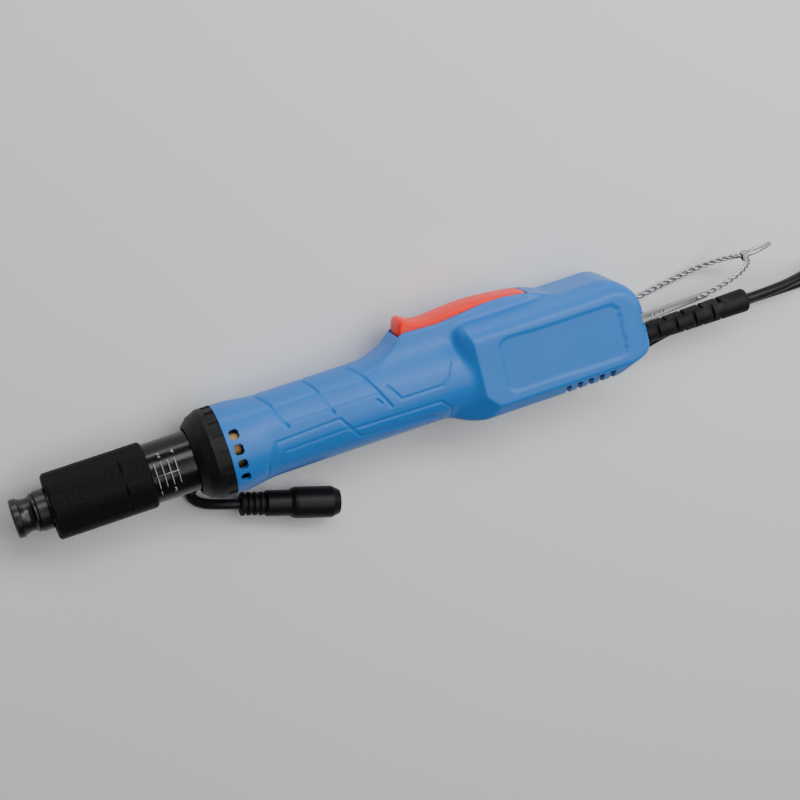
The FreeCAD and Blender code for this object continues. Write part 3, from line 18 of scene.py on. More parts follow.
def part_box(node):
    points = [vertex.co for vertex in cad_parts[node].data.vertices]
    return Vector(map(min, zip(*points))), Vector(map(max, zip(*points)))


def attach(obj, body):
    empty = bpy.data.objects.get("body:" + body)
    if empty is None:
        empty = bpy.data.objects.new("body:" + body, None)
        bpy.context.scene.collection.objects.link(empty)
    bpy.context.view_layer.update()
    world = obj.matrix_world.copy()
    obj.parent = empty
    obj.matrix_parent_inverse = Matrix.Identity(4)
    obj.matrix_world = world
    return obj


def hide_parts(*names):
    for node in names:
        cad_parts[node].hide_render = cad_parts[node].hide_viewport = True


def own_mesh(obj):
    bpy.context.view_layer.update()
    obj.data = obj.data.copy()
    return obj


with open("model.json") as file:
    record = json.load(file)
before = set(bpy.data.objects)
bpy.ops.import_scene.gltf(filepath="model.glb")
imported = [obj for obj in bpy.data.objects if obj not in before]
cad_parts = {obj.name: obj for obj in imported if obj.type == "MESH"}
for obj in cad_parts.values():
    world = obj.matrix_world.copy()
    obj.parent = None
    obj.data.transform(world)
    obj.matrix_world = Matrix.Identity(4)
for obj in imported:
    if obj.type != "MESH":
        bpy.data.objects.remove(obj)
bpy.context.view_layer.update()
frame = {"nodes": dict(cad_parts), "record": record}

joints = {joint["name"]: joint for joint in frame["record"]["behaviour"]["joints"]}
MM = 0.001

# %% [markdown]
# The camera comes next, because the likeness is judged from one side. A photograph of a small product is
# taken from about a metre away with a long lens, so the perspective is weak. The tool's axis rises to the
# right, the nose leans a little towards the lens, and the camera stands a little on the lever's side.
# Working in pixels of the square picture keeps the lens and the aim easy to compare with a measurement.

# %% Place the camera
PICTURE = 800
FOCAL_PIXELS = 2158.0
SENSOR = 36.0
DISTANCE = 938.0 * MM
AIM_STATION = 174.3 * MM
AIM_PIXELS_UP = 10.0
AXIS_RISE = math.radians(18.6)
NOSE_LEAN = math.radians(12.0)
LEVER_LEAN = math.radians(17.0)

towards_camera = Vector((-math.sin(NOSE_LEAN), math.cos(NOSE_LEAN) * math.sin(LEVER_LEAN),
                         math.cos(NOSE_LEAN) * math.cos(LEVER_LEAN)))
axis_seen = (Vector((1, 0, 0)) - towards_camera * towards_camera.x).normalized()
across_seen = towards_camera.cross(axis_seen).normalized()
picture_right = axis_seen * math.cos(AXIS_RISE) - across_seen * math.sin(AXIS_RISE)
picture_up = axis_seen * math.sin(AXIS_RISE) + across_seen * math.cos(AXIS_RISE)

camera_data = bpy.data.cameras.new("camera")
camera_data.sensor_width = SENSOR
camera_data.lens = SENSOR * FOCAL_PIXELS / PICTURE
camera = bpy.data.objects.new("camera", camera_data)
bpy.context.scene.collection.objects.link(camera)
aim = Vector((AIM_STATION, 0, 0)) - picture_up * (AIM_PIXELS_UP / FOCAL_PIXELS * DISTANCE)
turn = Matrix((picture_right, picture_up, towards_camera)).transposed().to_4x4()
camera.matrix_world = Matrix.Translation(aim + towards_camera * DISTANCE) @ turn
bpy.context.scene.camera = camera
print("lens", round(camera_data.lens, 1), "mm")

# %% [markdown]
# The lead is 1.5 m long and 4.7 mm thick, and ends in an inline connector. It leaves the strain relief at
# the tail and droops to the table. What the picture doesn't show is wound up just outside it. From there the
# lead comes back under the tool, folds under the nose and ends in its connector. One NURBS curve
# through listed points is a smooth line that bends as a soft cable does, and its bevel gives the jacket.

# %% Measure the lead
LEAD_D = 4.7 * MM
TABLE_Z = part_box("right_shell")[0][2]
LEAD_Z = TABLE_Z + LEAD_D / 2
COIL_CENTRE = (448.0 * MM, 15.05 * MM)
COIL_MEAN_R = 25.0 * MM
COIL_OUTER_R = COIL_MEAN_R + 1.5 * LEAD_D
COIL_TURNS = 6.75
SPIRAL_TURNS = 3.0
POINTS_PER_TURN = 16
LAYER = LEAD_D / MM

LEAD_FLAT = LEAD_Z / MM
lead_out = [(340.0, -11.2, 0.0), (354.0, -11.2, 0.0), (369.0, -11.2, -4.6), (383.0, -11.0, -12.4),
            (396.0, -10.0, LEAD_FLAT), (407.0, -5.6, LEAD_FLAT), (413.6, 2.6, LEAD_FLAT)]
lead_return = [(436.0, -17.1, LEAD_FLAT + LAYER), (421.0, -17.2, LEAD_FLAT + 2.1), (404.0, -17.0, LEAD_FLAT),
               (372.0, -17.6, LEAD_FLAT), (338.0, -17.0, LEAD_FLAT), (310.0, -18.4, LEAD_FLAT),
               (289.0, -22.8, LEAD_FLAT), (268.0, -25.0, LEAD_FLAT), (240.0, -25.4, LEAD_FLAT),
               (214.0, -24.0, LEAD_FLAT), (190.0, -19.4, LEAD_FLAT), (164.0, -15.6, LEAD_FLAT),
               (136.0, -14.6, LEAD_FLAT), (112.0, -15.4, LEAD_FLAT), (96.0, -16.2, LEAD_FLAT),
               (85.0, -15.7, LEAD_FLAT), (77.6, -16.9, LEAD_FLAT), (75.0, -20.8, LEAD_FLAT + 0.5),
               (78.8, -24.9, LEAD_FLAT + 2.6), (87.28, -27.55, -13.0), (94.9, -30.0, -13.0)]
print("coil", round(2 * COIL_OUTER_R / MM, 1), "mm across,", COIL_TURNS, "turns")

# %% [markdown]
# The coil is a spiral that a formula gives better than a hand: it winds inwards on the table, climbs by one
# thickness in the middle, and winds outwards on top of itself. The three runs of points are joined to one.

# %% Lay the lead
def coil_point(turns):
    """The point of the coil that lies this many turns from its start."""
    inner_r = COIL_OUTER_R - SPIRAL_TURNS * LEAD_D
    outward_from = COIL_TURNS - SPIRAL_TURNS
    if turns < SPIRAL_TURNS:
        radius = COIL_OUTER_R - turns * LEAD_D
        climb = 0.0
    elif turns < outward_from:
        radius = inner_r
        climb = (turns - SPIRAL_TURNS) / (outward_from - SPIRAL_TURNS)
    else:
        radius = inner_r + (turns - outward_from) * LEAD_D
        climb = 1.0
    angle = math.pi - 2 * math.pi * turns
    return (COIL_CENTRE[0] + radius * math.cos(angle), COIL_CENTRE[1] + radius * math.sin(angle),
            LEAD_Z + climb * LEAD_D)


def soft_curve(name, points, radius):
    """A bevelled NURBS curve with the points as its control points."""
    data = bpy.data.curves.new(name, "CURVE")
    data.dimensions = "3D"
    data.bevel_depth = radius
    data.bevel_resolution = 4
    data.use_fill_caps = True
    data.resolution_u = 6
    spline = data.splines.new("NURBS")
    spline.points.add(len(points) - 1)
    for point, place in zip(spline.points, points):
        point.co = (*place, 1.0)
    spline.order_u = 3
    spline.use_endpoint_u = True
    curve = bpy.data.objects.new(name, data)
    bpy.context.scene.collection.objects.link(curve)
    return curve


coil_steps = round(COIL_TURNS * POINTS_PER_TURN)
lead_points = [tuple(c * MM for c in p) for p in lead_out]
lead_points += [coil_point(COIL_TURNS * i / coil_steps) for i in range(coil_steps + 1)]
lead_points += [tuple(c * MM for c in p) for p in lead_return]
lead = soft_curve("lead", lead_points, LEAD_D / 2)
print("lead points", len(lead_points))

# %% [markdown]
# A pale floor and large soft lights stand in for a photographer's table. A long lamp above the lever's side
# lights the rounded back, one overhead fills the flat side, a small one behind the tail draws its rim, and a
# low strip beyond the lever lights the upper edges. A pale sky keeps the black parts from falling into one
# dark shape.

# %% Light the table
def floor_plane(size, height):
    mesh = bpy.data.meshes.new("floor")
    half = size / 2
    corners = [(-half, -half, height), (half, -half, height), (half, half, height), (-half, half, height)]
    mesh.from_pydata(corners, [], [(0, 1, 2, 3)])
    plane = bpy.data.objects.new("floor", mesh)
    bpy.context.scene.collection.objects.link(plane)
    return plane


def soft_lamp(name, place, target, size, power):
    data = bpy.data.lights.new(name, "AREA")
    data.shape = "RECTANGLE"
    data.size, data.size_y = size
    data.energy = power
    lamp = bpy.data.objects.new(name, data)
    lamp.location = place
    lamp.rotation_euler = (Vector(target) - Vector(place)).to_track_quat("-Z", "Y").to_euler()
    bpy.context.scene.collection.objects.link(lamp)


floor = floor_plane(6.0, TABLE_Z)
middle = (AIM_STATION, 0, 0)
lamps = [("key", (0.42, 0.50, 0.72), middle, (0.9, 0.30), 5.2),
         ("fill", (0.40, -0.05, 0.95), middle, (0.8, 0.5), 3.2),
         ("rim", (0.75, 0.1, 0.45), middle, (0.4, 0.6), 1.6),
         ("strip", (0.16, 0.80, 0.10), (0.14, 0, 0), (0.8, 0.14), 2.0)]
for lamp in lamps:
    soft_lamp(*lamp)
world = bpy.data.worlds.new("studio")
world.use_nodes = True
sky = world.node_tree.nodes["Background"]
sky.inputs["Color"].default_value = (0.86, 0.9, 0.95, 1)
sky.inputs["Strength"].default_value = 0.15
bpy.context.scene.world = world
print("lamps", len(lamps))

# %% [markdown]
# Finishes are made of shader nodes. Written out node by node, they hide the idea in wiring, so two small
# classes carry it. The first one is a signal: it stands for one output of a node, and arithmetic on it adds
# Math nodes.

# %% Signals
class Signal:
    """A value that flows through a finish. Arithmetic on it adds Math nodes."""

    def __init__(self, finish, socket):
        self.finish = finish
        self.socket = socket

    def math(self, operation, *values):
        return self.finish.node("ShaderNodeMath", {"operation": operation}, dict(enumerate(values)))

    def __add__(self, other):
        return self.math("ADD", self, other)

    def __sub__(self, other):
        return self.math("SUBTRACT", self, other)

    def __rsub__(self, other):
        return self.math("SUBTRACT", other, self)

    def __mul__(self, other):
        return self.math("MULTIPLY", self, other)

    __radd__ = __add__
    __rmul__ = __mul__

    def ramp(self, low, high):
        """0 below low, 1 above high, smooth between."""
        return self.finish.node("ShaderNodeMapRange", {"interpolation_type": "SMOOTHSTEP"},
                                {"Value": self, "From Min": low, "From Max": high}, "Result")


print("made the class", Signal.__name__)

# %% [markdown]
# The second class is a finish, which is one material. A single method adds any node from its settings and its
# inputs, and the few shorter ones are the textures that most finishes here share.

# %% Finishes
EDGE_SOFTNESS = 0.4 * MM


class Finish:
    """One material. Its textures follow the piece's own metres, so the grain is real size."""

    def __init__(self, name, **shader):
        self.material = bpy.data.materials.new(name)
        self.material.use_nodes = True
        self.tree = self.material.node_tree
        self.shader = self.tree.nodes["Principled BSDF"]
        self.place = self.node("ShaderNodeTexCoord", {}, {}, "Object")
        for label, value in shader.items():
            self.set(label.replace("_", " ").title().replace("Ior", "IOR"), value)

    def feed(self, socket, value):
        if isinstance(value, Signal):
            self.tree.links.new(value.socket, socket)
        else:
            socket.default_value = value

    def set(self, label, value):
        self.feed(self.shader.inputs[label], value)

    def node(self, kind, settings, inputs, output=0):
        made = self.tree.nodes.new(kind)
        for label, value in settings.items():
            setattr(made, label, value)
        for label, value in inputs.items():
            self.feed(made.inputs[label], value)
        return Signal(self, made.outputs[output])

    def stretched(self, x, y, z):
        """The piece's own place, scaled along each axis."""
        return self.node("ShaderNodeVectorMath", {"operation": "MULTIPLY"}, {0: self.place, 1: (x, y, z)})

    def noise(self, scale, detail=2.0, place=None):
        return self.node("ShaderNodeTexNoise", {}, {"Vector": place or self.place, "Scale": scale,
                                                    "Detail": detail}, "Fac")

    def creases(self, scale, place):
        """How far each place is from the border of its cell."""
        return self.node("ShaderNodeTexVoronoi", {"feature": "DISTANCE_TO_EDGE"},
                         {"Vector": place, "Scale": scale}, "Distance")

    def tint(self, mask, first, second):
        """A colour that goes from first to second as the mask goes from 0 to 1."""
        colours = {0: mask, 6: (*first, 1), 7: (*second, 1)}
        return self.node("ShaderNodeMix", {"data_type": "RGBA"}, colours, 2)

    def relief(self, height, depth, strength):
        """Fine relief as bump, over edges that look a little rounded."""
        soft_edges = self.node("ShaderNodeBevel", {"samples": 6}, {"Radius": EDGE_SOFTNESS})
        self.set("Normal", self.node("ShaderNodeBump", {}, {"Height": height, "Distance": depth,
                                                            "Strength": strength, "Normal": soft_edges}))


print("edges look rounded by", EDGE_SOFTNESS / MM, "mm")

# %% [markdown]
# The housing is moulded in a mid blue plastic with a satin surface. The mould's fine spark texture breaks up
# the reflections, handling leaves it a little shinier in patches, and the colour drifts by a few percent.

# %% Blue housing plastic
def blue_plastic():
    finish = Finish("blue_plastic", ior=1.48, specular_ior_level=0.36)
    patches = finish.noise(28.0, 3.0)
    grain = finish.noise(2600.0, 2.0)
    specks = finish.noise(900.0, 4.0).ramp(0.6, 0.75)
    worn = patches * 0.7 + specks * 0.3
    finish.set("Base Color", finish.tint(worn, (0.016, 0.160, 0.54), (0.026, 0.195, 0.60)))
    finish.set("Roughness", 0.40 + grain * 0.10 - patches * 0.12)
    finish.relief(grain * 0.7 + specks * 0.3, 0.00004, 0.6)
    return finish.material


finishes = {"blue_housing": blue_plastic()}
print("finishes", *finishes)

# %% [markdown]
# The lever is a brighter, smoother moulding than the housing. Thumbs polish its middle, so gloss changes
# along it, and fine scratches run the way a thumb slides.

# %% Red lever plastic
def red_plastic():
    finish = Finish("red_plastic", ior=1.5, specular_ior_level=0.3)
    patches = finish.noise(60.0, 2.0)
    scratches = finish.noise(1.0, 4.0, finish.stretched(200.0, 3000.0, 3000.0)).ramp(0.62, 0.7)
    finish.set("Base Color", finish.tint(patches, (0.98, 0.010, 0.002), (1.0, 0.018, 0.004)))
    finish.set("Roughness", 0.32 + patches * 0.12 + scratches * 0.1)
    finish.relief(scratches * 0.5 + finish.noise(1500.0) * 0.5, 0.00003, 0.5)
    return finish.material


finishes["red_lever"] = red_plastic()
print("finishes", *finishes)

# %% [markdown]
# The torque sleeve has a leathery grain: shallow creases between small pebbles. A cell texture gives the
# creases, a noise shifts them so that they don't look like tiles, and the tops are slightly polished.

# %% Grained black grip
def grained_black():
    finish = Finish("grained_black", ior=1.5, specular_ior_level=0.12)
    wander = finish.node("ShaderNodeTexNoise", {}, {"Vector": finish.place, "Scale": 240.0, "Detail": 3.0},
                         "Color")
    pushed = finish.node("ShaderNodeVectorMath", {"operation": "MULTIPLY_ADD"},
                         {0: wander, 1: (0.0022, 0.0022, 0.0022), 2: finish.place})
    pebbles = finish.creases(900.0, pushed).ramp(0.0, 0.3)
    broad = finish.noise(130.0, 4.0)
    height = pebbles * 0.55 + broad * 0.45
    # Painted shade: the colour is darker in the creases between the pebbles and lighter on their tops, with a
    # random drift in tone from the broad noise.
    finish.set("Base Color", finish.tint(height, (0.002, 0.002, 0.0022), (0.007, 0.007, 0.0072)))
    finish.set("Roughness", 0.66 - pebbles * 0.14 - broad * 0.08)
    finish.relief(height, 0.00024, 0.75)
    return finish.material


finishes["sleeve_grip"] = grained_black()
print("finishes", *finishes)

# %% [markdown]
# The nose ring, the knob and the connector are plain black mouldings with a fine sandblasted surface.

# %% Moulded black plastic
def moulded_black(name, tone, roughness):
    finish = Finish(name, ior=1.5, specular_ior_level=0.22)
    patches = finish.noise(90.0, 3.0)
    grain = finish.noise(2200.0, 2.0)
    finish.set("Base Color", finish.tint(patches, (tone * 0.8,) * 3, (tone * 1.25, tone * 1.25, tone * 1.3)))
    finish.set("Roughness", roughness + grain * 0.12 - patches * 0.1)
    finish.relief(grain, 0.00005, 0.7)
    return finish.material


mouldings = {
    "black_ring": moulded_black("ring_black", 0.005, 0.46),
    "black_knob": moulded_black("knob_black", 0.012, 0.45),
    "connector_plastic": moulded_black("connector_black", 0.004, 0.42),
}
finishes.update(mouldings)
print("black mouldings", *mouldings)

# %% [markdown]
# Rubber is duller than hard plastic, and gathers pale dust in a few places. The lead's jacket is softer and
# smoother, with a slight sheen from handling. Printed ink is as dull as rubber, so the same function makes it
# in a pale tone.

# %% Rubber, the lead's jacket and printed ink
def soft_rubber(name, tone, roughness, dust):
    finish = Finish(name, ior=1.45, specular_ior_level=0.3)
    patches = finish.noise(150.0, 4.0)
    grain = finish.noise(1800.0, 3.0)
    dusty = patches.ramp(0.55, 0.75) * dust
    finish.set("Base Color", finish.tint(dusty, (tone,) * 3, (0.09, 0.088, 0.085)))
    finish.set("Roughness", roughness + dusty * 0.2 + grain * 0.08)
    finish.relief(grain, 0.00004, 0.5)
    return finish.material


soft_finishes = {
    "black_rubber": soft_rubber("black_rubber", 0.005, 0.55, 0.2),
    "lead_jacket": soft_rubber("lead_jacket", 0.010, 0.32, 0.15),
    "scale_ink": soft_rubber("scale_ink", 0.55, 0.5, 0.0),
}
finishes.update(soft_finishes)
print("soft finishes", *soft_finishes)

# %% [markdown]
# Turned metal carries the tool marks of the lathe: fine rings round its axis. Stretching a noise so that it
# changes quickly along the tool's axis and slowly across it gives such rings. The same function makes the
# polished black barrel, the dark chuck collar and the bright steel, because only tone and gloss differ.

# %% Turned and drawn metals
def turned_metal(name, tone, roughness, rings, metallic=1.0, shine=0.5):
    finish = Finish(name, metallic=metallic, specular_ior_level=shine)
    lathe = finish.noise(1.0, 3.0, finish.stretched(5200.0, 60.0, 60.0))
    smudges = finish.noise(170.0, 4.0)
    dark = tuple(c * 0.82 for c in tone)
    finish.set("Base Color", finish.tint(smudges, dark, tone))
    finish.set("Roughness", roughness + smudges * 0.14 + lathe * (0.08 * rings) - 0.06)
    finish.relief(lathe, 0.00002, rings)
    return finish.material


metals = {
    "barrel_metal": turned_metal("barrel_black", (0.002, 0.002, 0.0025), 0.20, 0.25, 0.0, 0.35),
    "collar_metal": turned_metal("collar_dark", (0.055, 0.055, 0.058), 0.28, 1.0),
    "machined_steel": turned_metal("machined_steel", (0.58, 0.58, 0.59), 0.28, 1.0),
    "spring_steel": turned_metal("spring_steel", (0.42, 0.42, 0.43), 0.32, 0.3),
    "ball_steel": turned_metal("ball_steel", (0.72, 0.72, 0.73), 0.12, 0.1),
    "bail_steel": turned_metal("bail_steel", (0.50, 0.50, 0.51), 0.26, 0.3),
    "bail_plate": turned_metal("bail_plate", (0.24, 0.24, 0.24), 0.34, 0.3),
    "screw_steel": turned_metal("screw_steel", (0.50, 0.50, 0.50), 0.30, 0.6),
    "gear_steel": turned_metal("gear_steel", (0.45, 0.45, 0.46), 0.34, 0.6),
    # The ring gear's brass is painted far darker than bare brass, as painted shade for its place inside the
    # nose.
    "gear_brass": turned_metal("gear_brass", (0.20, 0.13, 0.05), 0.34, 0.8),
    "motor_metal": turned_metal("motor_metal", (0.45, 0.45, 0.44), 0.38, 0.5),
    "lamination": turned_metal("lamination", (0.22, 0.22, 0.23), 0.42, 1.0),
}
finishes.update(metals)
print("metals", *metals)

# %% [markdown]
# Inside, the motor and the board are seen only when the tool is taken apart. They still get plain finishes
# of the right kind, with some unevenness, so that an opened tool looks like one.

# %% Finishes for the inside
def plain_inside(name, tone, roughness, metallic=0.0, grain_scale=700.0):
    finish = Finish(name, metallic=metallic)
    grain = finish.noise(grain_scale, 3.0)
    dark, light = tuple(c * 0.85 for c in tone), tuple(min(1, c * 1.1) for c in tone)
    finish.set("Base Color", finish.tint(grain, dark, light))
    finish.set("Roughness", roughness + grain * 0.15)
    finish.relief(grain, 0.00003, 0.5)
    return finish.material


inside_finishes = {
    "magnet": plain_inside("ferrite", (0.05, 0.05, 0.052), 0.6),
    "copper": plain_inside("copper", (0.72, 0.30, 0.14), 0.3, 1.0, 1800.0),
    "insulator": plain_inside("insulator", (0.03, 0.03, 0.032), 0.5),
    "carbon": plain_inside("carbon", (0.02, 0.02, 0.02), 0.6),
    "circuit_board": plain_inside("circuit_board", (0.02, 0.16, 0.05), 0.35),
    "capacitor": plain_inside("capacitor", (0.02, 0.03, 0.10), 0.3),
    "heat_sink_metal": plain_inside("heat_sink_metal", (0.7, 0.7, 0.72), 0.35, 1.0),
    "terminal_green": plain_inside("terminal_green", (0.03, 0.30, 0.08), 0.4),
}
finishes.update(inside_finishes)
print("inside finishes", *inside_finishes)

# %% [markdown]
# Each CAD piece names the slot that its material goes in, so the table of finishes dresses them all. The
# lead takes the place of its three CAD solids.

# %% Dress the CAD nodes
def dress(piece, material):
    piece.data.materials.clear()
    piece.data.materials.append(material)


for part in frame["record"]["subparts"]:
    dress(frame["nodes"][part["node"]], finishes[part["material_slot"]])
dress(lead, finishes["lead_jacket"])
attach(lead, "housing")
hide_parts("lead_out", "lead_coil", "lead_return")
tuple(c * MM for c in lead_out[0])

# %% [markdown]
# Wires, marks and other small pieces are easiest to build point by point. A path is a smooth line through a
# few given points. The cubic formula here goes through all of them, so the points can be measured ones.

# %% Smooth paths
def smooth_path(route, step):
    """Points about a step apart on a smooth line through the route, which is in millimetres."""
    stops = [Vector(point) * MM for point in route]
    stops = [2 * stops[0] - stops[1]] + stops + [2 * stops[-1] - stops[-2]]
    path = []
    for before, start, end, after in zip(stops, stops[1:], stops[2:], stops[3:]):
        count = max(1, round((end - start).length / step))
        for i in range(count):
            t = i / count
            slope = t * (end - before) + t * t * (2 * before - 5 * start + 4 * end - after)
            path.append(0.5 * (2 * start + slope + t ** 3 * (3 * start - before - 3 * end + after)))
    return path + [stops[-2]]


print("a bend of 20 mm gets", len(smooth_path([(0, 0, 0), (10, 2, 0), (20, 0, 0)], MM)), "points")

# %% [markdown]
# A frame that is carried along the path without spinning gives each point its two cross directions. So a tube
# never twists by itself, and a strand can wind round the path on purpose.

# %% Tubes and strands
TUBE_SIDES = 10


def carried_frames(path):
    """For each point of a path, the point and two directions across it."""
    normal = (path[1] - path[0]).orthogonal()
    for i, place in enumerate(path):
        along = (path[min(i + 1, len(path) - 1)] - path[max(i - 1, 0)]).normalized()
        normal = (normal - along * normal.dot(along)).normalized()
        yield place, normal, along.cross(normal)


def tube(build, path, radius):
    """Add a closed tube along a path to a bmesh."""
    turns = [2 * math.pi * k / TUBE_SIDES for k in range(TUBE_SIDES)]
    before = None
    for place, normal, across in carried_frames(path):
        spokes = [normal * math.cos(a) + across * math.sin(a) for a in turns]
        ring = [build.verts.new(place + spoke * radius) for spoke in spokes]
        if before is None:
            build.faces.new(list(reversed(ring)))
        else:
            for k in range(TUBE_SIDES):
                after = (k + 1) % TUBE_SIDES
                build.faces.new((before[k], before[after], ring[after], ring[k]))
        before = ring
    build.faces.new(before)


def strand(path, offset, pitch, start):
    """The centre line of a strand that winds round a path."""
    line = []
    run = 0.0
    last = path[0]
    for place, normal, across in carried_frames(path):
        run += (place - last).length
        last = place
        turn = start + 2 * math.pi * run / pitch
        line.append(place + (normal * math.cos(turn) + across * math.sin(turn)) * offset)
    return line


print("tubes have", TUBE_SIDES, "sides")

# %% [markdown]
# Every new mesh gets the same last steps: its faces are turned outwards, it is shaded smooth and dressed, and
# it is told which body it rides on.

# %% Hand in a piece
def add_piece(name, build, material, body):
    """Turn a bmesh into a dressed piece that rides on a body."""
    bmesh.ops.recalc_face_normals(build, faces=build.faces)
    mesh = bpy.data.meshes.new(name)
    build.to_mesh(mesh)
    build.free()
    piece = bpy.data.objects.new(name, mesh)
    bpy.context.scene.collection.objects.link(piece)
    mesh.shade_smooth()
    dress(piece, material)
    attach(piece, body)
    print(name, len(mesh.polygons), "faces")
    return piece


# %% [markdown]
# The housing is one flowing form: a round grip, a wide rear body with flat sides and a rounded top, and a bed
# for the lever, all melted together. Boxes with bevels would show every join. So the form is written as a
# field, a number for each point that is negative inside and positive outside, and each feature is a short
# formula. A soft minimum melts two forms together, and a rounded maximum cuts one form by another with a
# fillet of a given radius. All lengths in these formulas are millimetres.

# %% Blend forms
def ease(value, low, high):
    """0 below low, 1 above high, smooth between."""
    t = np.clip((value - low) / (high - low), 0, 1)
    return t * t * (3 - 2 * t)


def melt(a, b, width):
    """The union of two fields, with a soft fillet."""
    share = np.clip(0.5 + 0.5 * (b - a) / width, 0, 1)
    return b * (1 - share) + a * share - width * share * (1 - share)


def crisp(a, b, width):
    """The common part of two fields, with a small rounding."""
    return -melt(-a, -b, width)


def rounded(a, b, radius):
    """The common part of two fields, with a round edge."""
    corner = np.hypot(np.maximum(a + radius, 0), np.maximum(b + radius, 0))
    return np.minimum(np.maximum(a, b), -radius) + corner


print("1 mm inside two planes, a round edge of 2 mm leaves", round(-float(rounded(-1.0, -1.0, 2.0)), 2), "mm")

# %% [markdown]
# The three main forms come first. The grip swells a little towards the nose ring. The rear body is a set of
# planes: flat sides, an upper side that leans in, a bevel below, ramps at its front, and a tail with a large
# round corner above and a bevel below. The bed follows a side view of a few heights. A factor such as 0.81
# after a sloping plane turns its value back into a distance.

# %% Shape the three main forms
HOUSING_X = 92.6
TAIL_X = 285.0
GRIP_R = 18.0
NOSE_R = 19.7
SIDE_Z = 20.0
TOP_Y = 22.0
BELLY_Y = -22.0
WALL = 2.2
NOSE_FLARE = (96.0, 113.0)
GRIP_FORM_END = 240.0
FLAT_X = 206.3
UPPER_FOLD_Y = 15.4
UPPER_LEAN = math.radians(15.0)
RAMP_CORNER_Y = -9.8
SHOULDER_X = 202.5
TAIL_TOP_R = 17.0
BEVEL_FOLD_Y = -15.7
BELLY_RAMP_X = 200.5
TAIL_BEVEL_X = 269.0
BED_HALF = 8.1
BED_FLOOR_Y = 9.0
BED_END_X = 252.0
bed_view = [(160.0, 13.0), (168.0, 17.6), (173.0, 20.6), (177.0, 24.6), (180.0, 26.2), (183.0, 25.9),
            (195.0, 25.2), (208.0, 26.4), (218.0, 27.4), (226.0, 27.5), (234.0, 26.6), (240.0, 25.2),
            (247.0, 22.6), (256.0, 17.0)]
bed_stations, bed_heights = zip(*bed_view)


def grip_form(x, y, z):
    round_grip = np.hypot(y, z) - (GRIP_R + (NOSE_R - GRIP_R) * (1 - ease(x, *NOSE_FLARE)))
    return np.maximum(round_grip, x - GRIP_FORM_END)


def rear_form(x, y, z):
    upper = (z - SIDE_Z) * math.cos(UPPER_LEAN) + (y - UPPER_FOLD_Y) * math.sin(UPPER_LEAN)
    side = crisp(z - SIDE_Z, upper, 0.4)
    ramp = ((z - SIDE_Z) + (FLAT_X - x) * 0.72) * 0.81
    corner = (z - SIDE_Z) * 0.81 + ((FLAT_X - x) * 0.76 - (y - RAMP_CORNER_Y) * 0.65) * 0.58
    side = crisp(side, crisp(ramp, corner, 0.25), 0.25)
    edge_r = 9.0 - 4.0 * ease(x, 264.0, 283.0)
    top = rounded(y - TOP_Y, x - TAIL_X, TAIL_TOP_R)
    shoulder = ((y - TOP_Y) + (SHOULDER_X - x) * 1.3) * 0.61
    form = rounded(side, crisp(top, shoulder, 2.0), edge_r)
    bevel = ((z - SIDE_Z) - (y - BEVEL_FOLD_Y)) * 0.7071
    belly = crisp(BELLY_Y - y, ((BELLY_Y - y) + (BELLY_RAMP_X - x) * 0.5) * 0.89, 3.0)
    tail_bevel = ((BELLY_Y - y) * 16.0 + (x - TAIL_BEVEL_X) * 9.5) / 18.6
    below = rounded(crisp(side, bevel, 0.8), crisp(belly, tail_bevel, 1.2), 2.2)
    return crisp(form, rounded(below, x - TAIL_X, 4.0), 0.5)


def bed_form(x, y, z):
    height = sum(np.interp(x + shift, bed_stations, bed_heights) for shift in (0.0, -1.5, 1.5)) / 3
    side = (z - (BED_HALF + (27.0 - y) * 0.15)) * 0.99
    ends = np.maximum(BED_FLOOR_Y - y, x - BED_END_X)
    return np.maximum(rounded(side, (y - height) * 0.85, 0.6), ends)


print("the grip's axis lies", round(-float(grip_form(150.0, 0.0, 0.0)), 2), "mm under its surface")

# %% [markdown]
# Over the main forms lies a shallow relief: sloping grooves, a sunk band between them and the outline of a
# lower panel on the grip, and a sunk panel on each flat side. On the grip the relief is drawn on the unrolled
# surface, where s is the way round from the lever's side.

# %% Draw the grip's lines
grip_lines = {
    0.62: [[(111.3, -0.2), (119.7, 23.0)], [(133.3, 1.5), (140.2, 23.5)], [(153.4, 3.3), (164.9, 28.7)],
           [(159.5, 23.9), (161.1, 25.9)]],
    0.42: [[(165.6, 19.5), (170.0, 27.0), (189.1, 27.2), (191.8, 24.7), (195.1, 18.8)],
           [(106.4, 46.6), (107.4, 36.7), (112.6, 27.7), (141.9, 26.7), (149.5, 38.6), (182.5, 40.9),
            (185.8, 43.8), (186.5, 47.5)],
           [(147.9, 33.1), (186.9, 34.2), (190.8, 39.0), (191.0, 44.1)]],
    0.25: [[(112.0, 37.2), (115.5, 32.7), (143.6, 32.0), (147.7, 33.9)]],
}
grip_bands = [[(116.0, 12.3), (136.2, 11.9), (139.2, 21.2), (119.2, 20.9)],
              [(136.4, 12.3), (157.6, 13.1), (161.4, 21.4), (139.6, 21.4)]]


def line_distance(x, s, points):
    """How far each place is from a line of straight runs."""
    best = np.full(np.shape(x), 1e9)
    for (x0, s0), (x1, s1) in zip(points, points[1:]):
        dx, ds = x1 - x0, s1 - s0
        t = np.clip(((x - x0) * dx + (s - s0) * ds) / (dx * dx + ds * ds), 0, 1)
        best = np.minimum(best, np.hypot(x - x0 - t * dx, s - s0 - t * ds))
    return best


def inside_depth(x, s, corners):
    """How far inside a convex outline each place is, negative outside."""
    depth = np.full(np.shape(x), 1e9)
    for (x0, s0), (x1, s1) in zip(corners, corners[1:] + corners[:1]):
        dx, ds = x1 - x0, s1 - s0
        depth = np.minimum(depth, (dx * (s - s0) - ds * (x - x0)) / math.hypot(dx, ds))
    return depth


print("grip lines", sum(len(lines) for lines in grip_lines.values()), "bands", len(grip_bands))

# %% [markdown]
# A line's groove is deepest on the line itself and has soft walls, as a moulded groove does. The relief is
# added to the field, which moves the surface inwards by so many millimetres.

